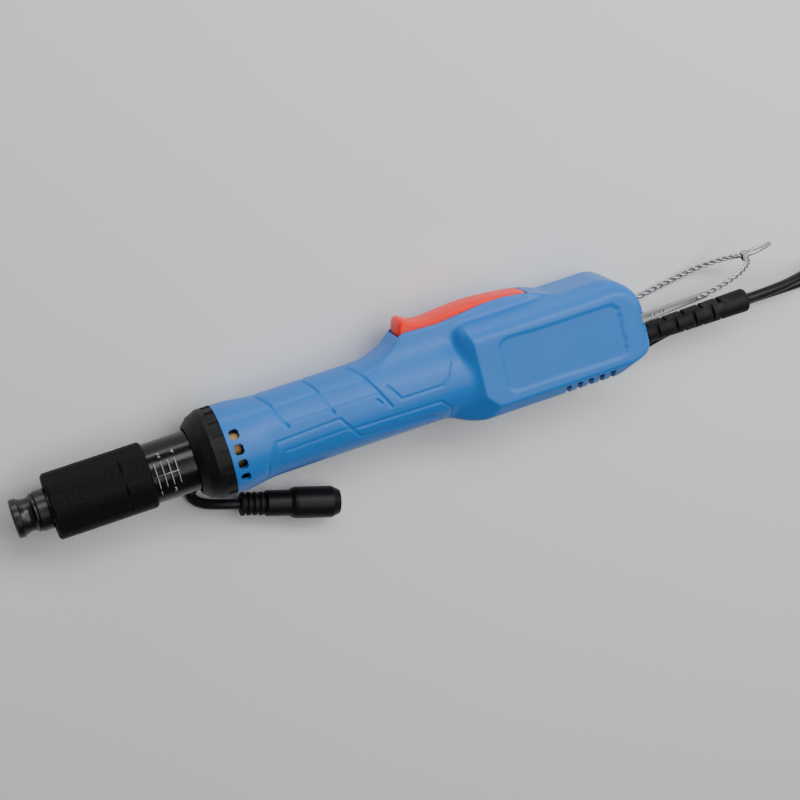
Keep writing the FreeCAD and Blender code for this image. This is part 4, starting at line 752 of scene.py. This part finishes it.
# %% Sink the relief
BAND_DEPTH = 0.40
RELIEF_END = (196.0, 199.0)
PANEL_X = 245.2
PANEL_HALF_LENGTH = 24.2
PANEL_HALF_HEIGHT = 8.2
PANEL_DEPTH = 0.75
PANEL_WALL = (3.5, 4.3)


def relief(x, y, z):
    """How deep the surface is sunk at each place."""
    s = GRIP_R * np.arctan2(z, y)
    cut = np.zeros(np.shape(x))
    for depth, lines in grip_lines.items():
        for points in lines:
            cut = np.maximum(cut, depth * (1 - ease(line_distance(x, s, points), 0.15, 0.95)))
    for corners in grip_bands:
        cut = np.maximum(cut, BAND_DEPTH * ease(inside_depth(x, s, corners), -0.3, 0.5))
    cut = cut * (1 - ease(x, *RELIEF_END))
    across = np.abs(x - PANEL_X) - PANEL_HALF_LENGTH
    along = np.abs(y - 0.2 - (250.0 - x) * 0.012) - PANEL_HALF_HEIGHT
    outside = np.hypot(np.maximum(across, 0), np.maximum(along, 0))
    outside = outside + np.minimum(np.maximum(across, along), 0)
    on_side = ease(z, 14.0, 17.0) * ease(x, 208.0, 212.0)
    return cut + PANEL_DEPTH * (1 - ease(outside, *PANEL_WALL)) * on_side


def housing_field(x, y, z):
    plain = melt(grip_form(x, y, z), rear_form(x, y, z), 1.6)
    bed_fillet = 5.5 - 4.1 * ease(x, 192.0, 204.0)
    return melt(plain, bed_form(x, y, z), bed_fillet) + relief(x, y, z)


print("the side panel is sunk by", round(float(relief(PANEL_X, 0.0, SIDE_Z)), 2), "mm")

# %% [markdown]
# The inside of the housing is the same form, one wall's thickness further in. Round the lever it keeps a
# floor and walls, so that nothing falls from the lever's slot into the motor.

# %% Hollow the housing
UNDER_BED_X = (171.0, 242.6)
UNDER_BED_Y = 15.6
UNDER_BED_HALF = 8.7


def cavity_field(x, y, z):
    plain = melt(grip_form(x, y, z), rear_form(x, y, z), 3.0) + WALL
    ends = np.maximum(UNDER_BED_X[0] - x, x - UNDER_BED_X[1])
    under_bed = np.maximum(np.maximum(UNDER_BED_Y - y, z - UNDER_BED_HALF), ends)
    return np.maximum(plain, -under_bed)


print("the inside of the grip starts", round(-float(cavity_field(150.0, 0.0, 0.0)), 2), "mm from its axis")

# %% [markdown]
# To turn the field into a mesh, straight rays leave the tool's axis and stop where the field is zero. Halving
# the interval thirty times finds that place to far less than a thousandth of a millimetre. The rays stand
# square to the axis along the body and fan out over the tail, and are closer where the relief is.

# %% Cast the rays
FAN_X = 262.0
row_spacing = [(HOUSING_X, 104.0, 0.8), (104.0, 197.0, 0.5), (197.0, 222.0, 0.5), (222.0, FAN_X, 1.3)]
stations = []
for start, end, spacing in row_spacing:
    count = round((end - start) / spacing)
    stations += [start + (end - start) * i / count for i in range(count)]
FAN_ROWS = 50
COLUMNS = 132
RAY_START = 4.0
RAY_END = 48.0
HALVINGS = 30
origin_x = np.array(stations + [FAN_X] * (FAN_ROWS + 1))
lean_back = np.array([0.0] * len(stations) + [math.pi / 2 * i / FAN_ROWS for i in range(FAN_ROWS + 1)])
way_round = np.linspace(0, math.pi, COLUMNS + 1)


def cast(field):
    """The points where the rays leave a form, as rows of columns."""
    ox = origin_x[:, None]
    dx = np.sin(lean_back)[:, None] * np.ones(COLUMNS + 1)
    dy = np.cos(lean_back)[:, None] * np.cos(way_round)
    dz = np.cos(lean_back)[:, None] * np.sin(way_round)
    near = np.full(dx.shape, RAY_START)
    far = np.full(dx.shape, RAY_END)
    for _ in range(HALVINGS):
        half = (near + far) / 2
        outside = field(ox + dx * half, dy * half, dz * half) > 0
        far = np.where(outside, half, far)
        near = np.where(outside, near, half)
    return np.stack([ox + dx * near, dy * near, dz * near], axis=-1)


outer = cast(housing_field)
inner = cast(cavity_field)
print("housing rows", outer.shape[0], "columns", outer.shape[1])

# %% [markdown]
# The rows of points give clean four-sided faces. Each half of the housing gets an outer and an inner skin
# that close on each other at the nose and along the parting plane. The other half is the same one mirrored.

# %% Close each half
SEAM = 0.03


def half_shell(outer, inner, side):
    """A closed mesh of one half. The side is 1 for the left half and -1 for the right one."""
    rows = outer.shape[0]
    width = COLUMNS + 1
    places = np.concatenate([outer.reshape(-1, 3), inner.reshape(-1, 3)])
    places[:, 2] = np.maximum(places[:, 2], SEAM) * side
    inner_from = rows * width
    faces = []
    for i in range(rows - 1):
        for j in range(COLUMNS):
            a, b = i * width + j, (i + 1) * width + j
            faces.append((a, a + 1, b + 1, b))
            faces.append((inner_from + a, inner_from + b, inner_from + b + 1, inner_from + a + 1))
        for j in (0, COLUMNS):
            a, b = i * width + j, (i + 1) * width + j
            faces.append((a, b, inner_from + b, inner_from + a))
    for j in range(COLUMNS):
        faces.append((j, inner_from + j, inner_from + j + 1, j + 1))
    build = bmesh.new()
    verts = [build.verts.new(place) for place in places * MM]
    for face in faces:
        build.faces.new([verts[k] for k in face])
    bmesh.ops.remove_doubles(build, verts=build.verts, dist=2e-6)
    bmesh.ops.dissolve_degenerate(build, edges=build.edges, dist=1e-6)
    bmesh.ops.recalc_face_normals(build, faces=build.faces)
    return build


print("the halves meet with a gap of", 2 * SEAM, "mm")

# %% [markdown]
# Openings are cut last, with solids that stand for the tools of the mould. Boxes and round rods do for all of
# them here.

# %% Boxes and rods
def add_box(build, low, high):
    made = bmesh.ops.create_cube(build, size=1.0)["verts"]
    size = [(b - a) * MM for a, b in zip(low, high)]
    middle = [(a + b) / 2 * MM for a, b in zip(low, high)]
    bmesh.ops.scale(build, vec=size, verts=made)
    bmesh.ops.translate(build, vec=middle, verts=made)
    return made


def add_rod(build, radius, low, high, axis="X", segments=48):
    """A round rod between two points along one axis."""
    start, end = Vector(low) * MM, Vector(high) * MM
    turned = Matrix.Rotation(math.pi / 2, 4, "Y") if axis == "X" else Matrix.Identity(4)
    place = Matrix.Translation((start + end) / 2) @ turned
    return bmesh.ops.create_cone(build, cap_ends=True, segments=segments, radius1=radius * MM,
                                 radius2=radius * MM, depth=(end - start).length, matrix=place)["verts"]


sample = bmesh.new()
add_rod(sample, 5.0, (0.0, 0.0, 0.0), (10.0, 0.0, 0.0))
print("a rod has", len(sample.faces), "faces")
sample.free()

# %% [markdown]
# The openings are the lever's slot, the windows round the nose, the slots in the lower edge, the bail's slots
# and the knob's window in the tail, the hole of the strain relief, and the screw holes in the half that faces
# the table.

# %% Make the cutters
LEVER_SLOT = ((177.7, 17.6, -7.3), (238.9, 34.0, 7.3))
WINDOW = ((94.7, 14.5, -2.3), (98.8, 24.0, 2.3))
WINDOW_CORNER_R = 0.7
WINDOW_ANGLES = (60.0, 80.0, 100.0, 120.0, -60.0, -80.0, -100.0, -120.0)
EDGE_SLOTS = 5
EDGE_SLOT_X = 242.5
EDGE_SLOT_PITCH = 5.3
EDGE_SLOT_WIDTH = 2.5
PAST_TAIL = 290.0
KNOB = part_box("direction_knob")
KNOB_GAP = 0.3
RELIEF_Y = lead_out[0][1]
RELIEF_HOLE_R = 4.55
SCREW_PLACES = ((180.0, 8.5), (180.0, -8.5), (222.0, 11.5), (226.0, -17.2), (264.4, 15.2), (265.8, -17.2))
SCREW_HOLE_R = 2.9
GRIP_END_X = 192.0
GRIP_SEAT_DEPTH = 3.4
REAR_SEAT_Z = -14.6


def opening_cutters():
    """The cutters of the openings that both halves share."""
    cutters = []

    def cutter():
        cutters.append(bmesh.new())
        return cutters[-1]

    add_box(cutter(), *LEVER_SLOT)
    for angle in WINDOW_ANGLES:
        window = cutter()
        made = add_box(window, *WINDOW)
        edges = {e for v in made for e in v.link_edges if abs(e.verts[0].co.y - e.verts[1].co.y) > 1e-4}
        bmesh.ops.bevel(window, geom=list(edges), offset=WINDOW_CORNER_R * MM, segments=3, affect="EDGES")
        bmesh.ops.rotate(window, verts=window.verts, matrix=Matrix.Rotation(math.radians(angle), 3, "X"))
    for i in range(EDGE_SLOTS):
        x = EDGE_SLOT_X + EDGE_SLOT_PITCH * i
        for low, high in ((6.0, 21.0), (-21.0, -6.0)):
            add_box(cutter(), (x, -24.0, low), (x + EDGE_SLOT_WIDTH, -17.2, high))
    for low, high in ((16.9, 19.1), (-19.1, -16.9)):
        add_box(cutter(), (275.2, -4.6, low), (PAST_TAIL, 7.4, high))
    travel = joints["direction_slide"]["range_m"][1] / MM
    (_, y0, z0), (_, y1, z1) = [[c / MM for c in corner] for corner in KNOB]
    add_box(cutter(), (280.0, y0 - KNOB_GAP, z0 - travel - KNOB_GAP),
            (PAST_TAIL, y1 + KNOB_GAP, z1 + travel + KNOB_GAP))
    add_rod(cutter(), RELIEF_HOLE_R, (268.0, RELIEF_Y, 0), (PAST_TAIL, RELIEF_Y, 0))
    return cutters


def screw_cutters():
    """The cutters of the screw holes. On the grip their seats follow its round surface."""
    cutters = []
    for x, y in SCREW_PLACES:
        grip_seat_z = -math.sqrt(GRIP_R ** 2 - y * y) + GRIP_SEAT_DEPTH
        bottom = grip_seat_z if x <= GRIP_END_X else REAR_SEAT_Z
        cutters.append(bmesh.new())
        add_rod(cutters[-1], SCREW_HOLE_R, (x, y, -30.0), (x, y, bottom), axis="Z", segments=32)
    return cutters


print("nose windows", len(WINDOW_ANGLES), "edge slots", 2 * EDGE_SLOTS, "screw holes", len(SCREW_PLACES))

# %% [markdown]
# An exact boolean keeps every edge where the cutter puts it. Cutters that don't touch are joined, so that one
# quick cut does for all. The screw holes run into the slots of the lower edge, so they are a second cut.

# %% Cut the openings
def joined(cutters):
    """Cutters that don't touch each other as one, so that one cut does for all."""
    together = bmesh.new()
    for cutter in cutters:
        part = bpy.data.meshes.new("part")
        bmesh.ops.recalc_face_normals(cutter, faces=cutter.faces)
        cutter.to_mesh(part)
        cutter.free()
        together.from_mesh(part)
    return together


def cut(build, cutter):
    """Take one cutter out of a mesh with an exact boolean."""
    pair = []
    for name, source in (("body", build), ("cutter", cutter)):
        bmesh.ops.recalc_face_normals(source, faces=source.faces)
        mesh = bpy.data.meshes.new(name)
        source.to_mesh(mesh)
        source.free()
        pair.append(bpy.data.objects.new(name, mesh))
        bpy.context.scene.collection.objects.link(pair[-1])
    body, tool = pair
    modifier = body.modifiers.new("cut", "BOOLEAN")
    modifier.operation = "DIFFERENCE"
    modifier.solver = "EXACT"
    modifier.object = tool
    carved = bpy.data.meshes.new_from_object(body.evaluated_get(bpy.context.evaluated_depsgraph_get()))
    for obj in pair:
        bpy.data.objects.remove(obj)
    result = bmesh.new()
    result.from_mesh(carved)
    return result


for name, node, side in (("left_skin", "left_shell", 1), ("right_skin", "right_shell", -1)):
    build = cut(half_shell(outer, inner, side), joined(opening_cutters()))
    if side < 0:
        build = cut(build, joined(screw_cutters()))
    skin = add_piece(name, build, finishes["blue_housing"], "housing")
    skin.data.set_sharp_from_angle(angle=math.radians(38))
    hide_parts(node)

# %% [markdown]
# The start lever fills the whole width of the bed. Its side view is one smooth line: a tall rounded front, a
# dip for the finger, a long swell and a thin rear end.

# %% Draw the lever's side view
lever_top = [(178.5, 22.6), (178.2, 25.2), (178.6, 27.8), (179.7, 30.2), (181.2, 31.3), (183.0, 30.9),
             (185.2, 29.5), (188.0, 28.5), (192.0, 28.1), (198.5, 28.6), (208.0, 29.3), (216.0, 29.2),
             (225.0, 28.4), (232.0, 27.5), (236.2, 26.6), (238.4, 25.6)]
lever_under = [(238.7, 21.0), (236.7, 18.6), (230.5, 18.6), (226.5, 22.6), (210.0, 22.6), (194.0, 22.6)]
smooth_top = smooth_path([(x, y, 0.0) for x, y in lever_top], 0.7 * MM)
side_view = [(place.x / MM, place.y / MM) for place in smooth_top] + lever_under


def drawn_in(amount):
    """The lever's side view with its upper part moved inwards."""
    ring = []
    last = side_view[-1:] + side_view
    following = side_view[1:] + side_view[:1]
    for (x0, y0), (x, y), (x1, y1) in zip(last, side_view, following):
        run = math.hypot(x1 - x0, y1 - y0)
        share = amount * ease(y, 22.7, 25.0)
        ring.append((x + (y1 - y0) / run * share, y - (x1 - x0) / run * share))
    return ring


print("side view points", len(side_view))

# %% [markdown]
# That outline is repeated across the width and drawn in near both sides, so that the lever gets a domed top
# with soft shoulders. Its bore takes the pin.

# %% Press the start lever
LEVER_HALF = 7.0
SHOULDER_R = 1.3
CROWN = 0.45
LEVER_BORE_R = 1.55
LEVER_X, LEVER_Y = (c / MM for c in joints["lever_press"]["pos_m"][:2])
levels = []
for angle in np.linspace(math.pi / 2, 0, 9):
    across = LEVER_HALF - SHOULDER_R * (1 - math.sin(angle))
    levels.append((across, SHOULDER_R * (1 - math.cos(angle)) + CROWN * (across / LEVER_HALF) ** 2))
levels += [(z, CROWN * (z / LEVER_HALF) ** 2) for z in (3.4, 1.7, 0.0)]
levels += [(-z, amount) for z, amount in reversed(levels[:-1])]
lever = bmesh.new()
before = None
for across, amount in levels:
    ring = [lever.verts.new(Vector((x, y, across)) * MM) for x, y in drawn_in(amount)]
    if before is None:
        lever.faces.new(ring)
    else:
        for k in range(len(ring)):
            after = (k + 1) % len(ring)
            lever.faces.new((before[k], before[after], ring[after], ring[k]))
    before = ring
lever.faces.new(list(reversed(before)))
bore = bmesh.new()
add_rod(bore, LEVER_BORE_R, (LEVER_X, LEVER_Y, -9.0), (LEVER_X, LEVER_Y, 9.0), axis="Z", segments=32)
lever_skin = add_piece("lever_skin", cut(lever, bore), finishes["red_lever"], "lever")
lever_skin.data.set_sharp_from_angle(angle=math.radians(40))
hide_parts("start_lever")

# %% [markdown]
# Three springs give way when the tool is used: the clutch spring when the sleeve is screwed in, the collar
# spring when the collar is pulled back, and the lever spring when the lever is pressed. In use each one
# shortens towards its seat by as much as its joint takes up. Here each gets a mesh of its own, and the share
# of its length that it keeps is printed.

# %% Give the springs their own meshes
lever_turn = math.radians(joints["lever_press"]["range_deg"][1])
lever_drop = (LEVER_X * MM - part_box("lever_spring")[0][0]) * math.tan(lever_turn)
springs = [("clutch_spring", "sleeve_advance", 0, 0, joints["sleeve_advance"]["range_m"][1]),
           ("collar_spring", "collar_slide", 0, 1, joints["collar_slide"]["range_m"][1]),
           ("lever_spring", "lever_press", 1, 0, lever_drop)]
for name, joint, axis, seat_end, travel in springs:
    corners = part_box(name)
    length = corners[1][axis] - corners[0][axis]
    along = tuple(1.0 if i == axis else 0.0 for i in range(3))
    keep = 1 - travel / length
    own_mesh(frame["nodes"][name])
    print(name, "keeps", round(keep, 2), "of its length")

# %% [markdown]
# Short pins stand in the tail's slots. The bail turns on them, and nothing of them shows from outside.

# %% Set the bail's pins
BAIL_X, BAIL_Y = (c / MM for c in joints["bail_swing"]["pos_m"][:2])
BAIL_PIN_R = 1.5
pins = bmesh.new()
for low, high in ((14.6, 19.3), (-19.3, -14.6)):
    add_rod(pins, BAIL_PIN_R, (BAIL_X, BAIL_Y, low), (BAIL_X, BAIL_Y, high), axis="Z", segments=32)
bail_pins = add_piece("bail_pins", pins, finishes["screw_steel"], "housing")
bail_pins.data.set_sharp_from_angle(angle=math.radians(40))
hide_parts("bail_pivots")

# %% [markdown]
# The bail hangs the tool above the bench. It is one thin wire laid double and twisted like a rope. On the
# near side a flat steel arm with two holes is crimped to it, and on the far side the wire itself goes round
# the pivot. Both sides meet in a bound neck, and the wire runs on into a narrow pointed eye. Winding two
# strands round each path shows the twist as real geometry, which catches the light like the real wire.

# %% Twist the bail
BAIL_SIDE = 18.0
WIRE_R = 0.65 * MM
WIRE_PITCH = 6.5 * MM
PIN_TURN_R = 2.9
ARM_LENGTH = 35.0
ARM_TILT = math.radians(2.4)
ARM_ROOT_R = 3.0
ARM_TIP_R = 1.35
ARM_THICKNESS = 1.4 * MM
ARM_HOLES = [(0.0, 1.6), (9.5, 0.7), (14.0, 0.6)]
NECK = (343.6, 8.6)

arm_tip = (BAIL_X + ARM_LENGTH * math.cos(ARM_TILT), BAIL_Y + ARM_LENGTH * math.sin(ARM_TILT), BAIL_SIDE)
near_wire = [(arm_tip[0] - 4.0, arm_tip[1] - 0.2, BAIL_SIDE), arm_tip, (324.0, 4.0, 17.4), (333.0, 5.6, 14.8),
             (339.6, 6.9, 10.0), (342.8, 7.8, 4.6), (NECK[0] - 0.6, NECK[1], 1.2)]
round_pin = [math.radians(360.0 + 270.0 * i / 9) for i in range(10)]
far_wire = [(BAIL_X + PIN_TURN_R * math.cos(a), BAIL_Y + PIN_TURN_R * math.sin(a), -BAIL_SIDE)
            for a in round_pin]
far_wire += [(288.0, -1.0, -BAIL_SIDE), (302.0, 1.4, -BAIL_SIDE), (316.0, 3.6, -17.6), (327.0, 5.6, -15.6),
             (335.5, 7.0, -11.0), (340.6, 8.0, -6.0), (NECK[0] - 0.6, NECK[1], -1.2)]
wires = bmesh.new()
for route in (near_wire, far_wire):
    path = smooth_path(route, 0.45 * MM)
    for start in (0.0, math.pi):
        tube(wires, strand(path, WIRE_R, WIRE_PITCH, start), WIRE_R)
binding = [(NECK[0] - 1.4 + 0.2 * i / 3, NECK[1] - 0.15 + 2.1 * math.cos(0.5 * i), 2.4 * math.sin(0.5 * i))
           for i in range(38)]
tube(wires, smooth_path(binding, 0.4 * MM), 0.42 * MM)
EYE_R = 0.85
eye_outline = ((0.0, 0.9), (3.0, 1.9), (6.5, 2.2), (10.0, 1.6), (12.6, 0.7))
half_eye = [(NECK[0] + run, half_width) for run, half_width in eye_outline]
eye_rise = math.tan(math.radians(7.0))
eye = [(x, NECK[1] + (x - NECK[0]) * eye_rise, z) for x, z in half_eye]
eye += [(x, y, -z) for x, y, z in reversed(eye)]
tube(wires, smooth_path(eye, 0.4 * MM), EYE_R * MM)
bail_wire = add_piece("bail_wire", wires, finishes["bail_steel"], "bail")
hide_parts("hanging_bail")

# %% [markdown]
# The flat arm is drawn as a closed outline with holes, the way that it is punched from sheet. A filled 2-D
# curve does exactly this: it takes the holes as more closed splines, and its bevel breaks the sharp edges.

# %% Punch the bail's arm
def punched_plate(name, outline, holes, thickness, bevel):
    """A flat plate in the XY plane, in metres, from a closed outline with round holes."""
    data = bpy.data.curves.new(name, "CURVE")
    data.dimensions = "2D"
    data.fill_mode = "BOTH"
    data.extrude = thickness / 2 - bevel
    data.bevel_depth = bevel
    data.bevel_resolution = 2
    data.offset = -bevel
    rounds = [[(x + r * math.cos(math.pi * k / 14), r * math.sin(math.pi * k / 14)) for k in range(28)]
              for x, r in holes]
    for ring in [outline] + rounds:
        spline = data.splines.new("POLY")
        spline.points.add(len(ring) - 1)
        for point, (x, y) in zip(spline.points, ring):
            point.co = (x * MM, y * MM, 0.0, 1.0)
        spline.use_cyclic_u = True
    source = bpy.data.objects.new(name, data)
    bpy.context.scene.collection.objects.link(source)
    mesh = bpy.data.meshes.new_from_object(source)
    bpy.data.objects.remove(source)
    return mesh


root = [math.pi / 2 + math.pi * k / 16 for k in range(17)]
tip = [-math.pi / 2 + math.pi * k / 8 for k in range(9)]
outline = [(ARM_ROOT_R * math.cos(a), ARM_ROOT_R * math.sin(a)) for a in root] + [(6.2, -2.0)]
outline += [(ARM_LENGTH + ARM_TIP_R * math.cos(a), ARM_TIP_R * math.sin(a)) for a in tip] + [(6.2, 2.0)]
plate = bmesh.new()
plate.from_mesh(punched_plate("arm", outline, ARM_HOLES, ARM_THICKNESS, 0.15 * MM))
bmesh.ops.remove_doubles(plate, verts=plate.verts, dist=1e-7)
seat = Matrix.Translation(Vector((BAIL_X, BAIL_Y, BAIL_SIDE)) * MM) @ Matrix.Rotation(ARM_TILT, 4, "Z")
bmesh.ops.transform(plate, matrix=seat, verts=plate.verts)
add_piece("bail_arm", plate, finishes["bail_plate"], "bail")

# %% [markdown]
# The barrel carries a printed scale. A picture could be laid over it, but marks of thin raised ink, bent
# round the barrel, stay crisp from any distance. A bar of ink is built row by row, and a number is a text
# object that is turned into a mesh and bent.

# %% Ink that follows the barrel
BARREL_R = (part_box("barrel")[1][2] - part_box("barrel")[0][2]) / 2
INK = 0.03 * MM
NUMBER_SIZE = 2.9 * MM


def on_barrel(station, turn, lift):
    """A point over the barrel's surface. The turn is counted from straight up, towards the lever."""
    radius = BARREL_R + lift
    return Vector((station, radius * math.sin(turn), radius * math.cos(turn)))


def ink_bar(build, x0, x1, turn0, turn1, steps):
    """A thin printed bar that follows the barrel."""
    section = ((x0, -INK), (x0, INK), (x1, INK), (x1, -INK))
    rows = []
    for i in range(steps + 1):
        turn = turn0 + (turn1 - turn0) * i / steps
        rows.append([build.verts.new(on_barrel(x, turn, lift)) for x, lift in section])
    for low, high in zip(rows, rows[1:]):
        for k in range(4):
            build.faces.new((low[k], low[(k + 1) % 4], high[(k + 1) % 4], high[k]))
    build.faces.new(rows[0])
    build.faces.new(rows[-1])


def ink_number(build, text, station, turn):
    """A printed number, bent round the barrel."""
    data = bpy.data.curves.new("number", "FONT")
    data.body = text
    data.size = NUMBER_SIZE
    data.align_x = "CENTER"
    data.align_y = "CENTER"
    data.extrude = INK
    data.offset = 0.012 * NUMBER_SIZE
    source = bpy.data.objects.new("number", data)
    bpy.context.scene.collection.objects.link(source)
    mesh = bpy.data.meshes.new_from_object(source)
    bpy.data.objects.remove(source)
    glyph = bmesh.new()
    glyph.from_mesh(mesh)
    bmesh.ops.remove_doubles(glyph, verts=glyph.verts, dist=1e-7)
    bmesh.ops.subdivide_edges(glyph, edges=glyph.edges, cuts=2)
    for vert in glyph.verts:
        x, y, z = vert.co
        vert.co = on_barrel(station + x, turn + y / BARREL_R, 2 * INK + z)
    glyph.to_mesh(mesh)
    glyph.free()
    build.from_mesh(mesh)


print("the ink lies on a radius of", round(BARREL_R / MM, 2), "mm")

# %% [markdown]
# The scale shows how far the torque sleeve is screwed in. Four ticks stand a thread's pitch apart on one line
# along the barrel, with their numbers above and below by turns.

# %% Print the scale
SCALE_PITCH = 3.0 * MM
SCALE_X = 61.3 * MM
SCALE_TURN = math.radians(8.5)
TICK_SPAN = math.radians(21.0)
TICK_WIDTH = 0.42 * MM
ink = bmesh.new()
for i in range(4):
    station = SCALE_X + i * SCALE_PITCH
    ink_bar(ink, station - TICK_WIDTH / 2, station + TICK_WIDTH / 2,
            SCALE_TURN - TICK_SPAN, SCALE_TURN + TICK_SPAN, 14)
    beyond = 10.0 if i % 2 else -8.0
    ink_number(ink, str(i + 1), station, SCALE_TURN + math.copysign(TICK_SPAN, beyond) + math.radians(beyond))
ink_bar(ink, SCALE_X - 0.9 * MM, SCALE_X + 3 * SCALE_PITCH + 0.6 * MM,
        SCALE_TURN - TICK_WIDTH / 2 / BARREL_R, SCALE_TURN + TICK_WIDTH / 2 / BARREL_R, 2)
add_piece("barrel_scale", ink, finishes["scale_ink"], "housing")

# %% [markdown]
# The table is plain pale paper. Broad, faint clouds in its tone keep it from looking like a flat fill.

# %% Cover the table
floor_finish = Finish("table_paper")
clouds = floor_finish.noise(3.0)
floor_finish.set("Base Color", floor_finish.tint(clouds, (0.78, 0.78, 0.77), (0.82, 0.82, 0.81)))
floor_finish.set("Roughness", 0.6 + floor_finish.noise(40.0) * 0.1)
dress(floor, floor_finish.material)
print("table finish", floor_finish.material.name)
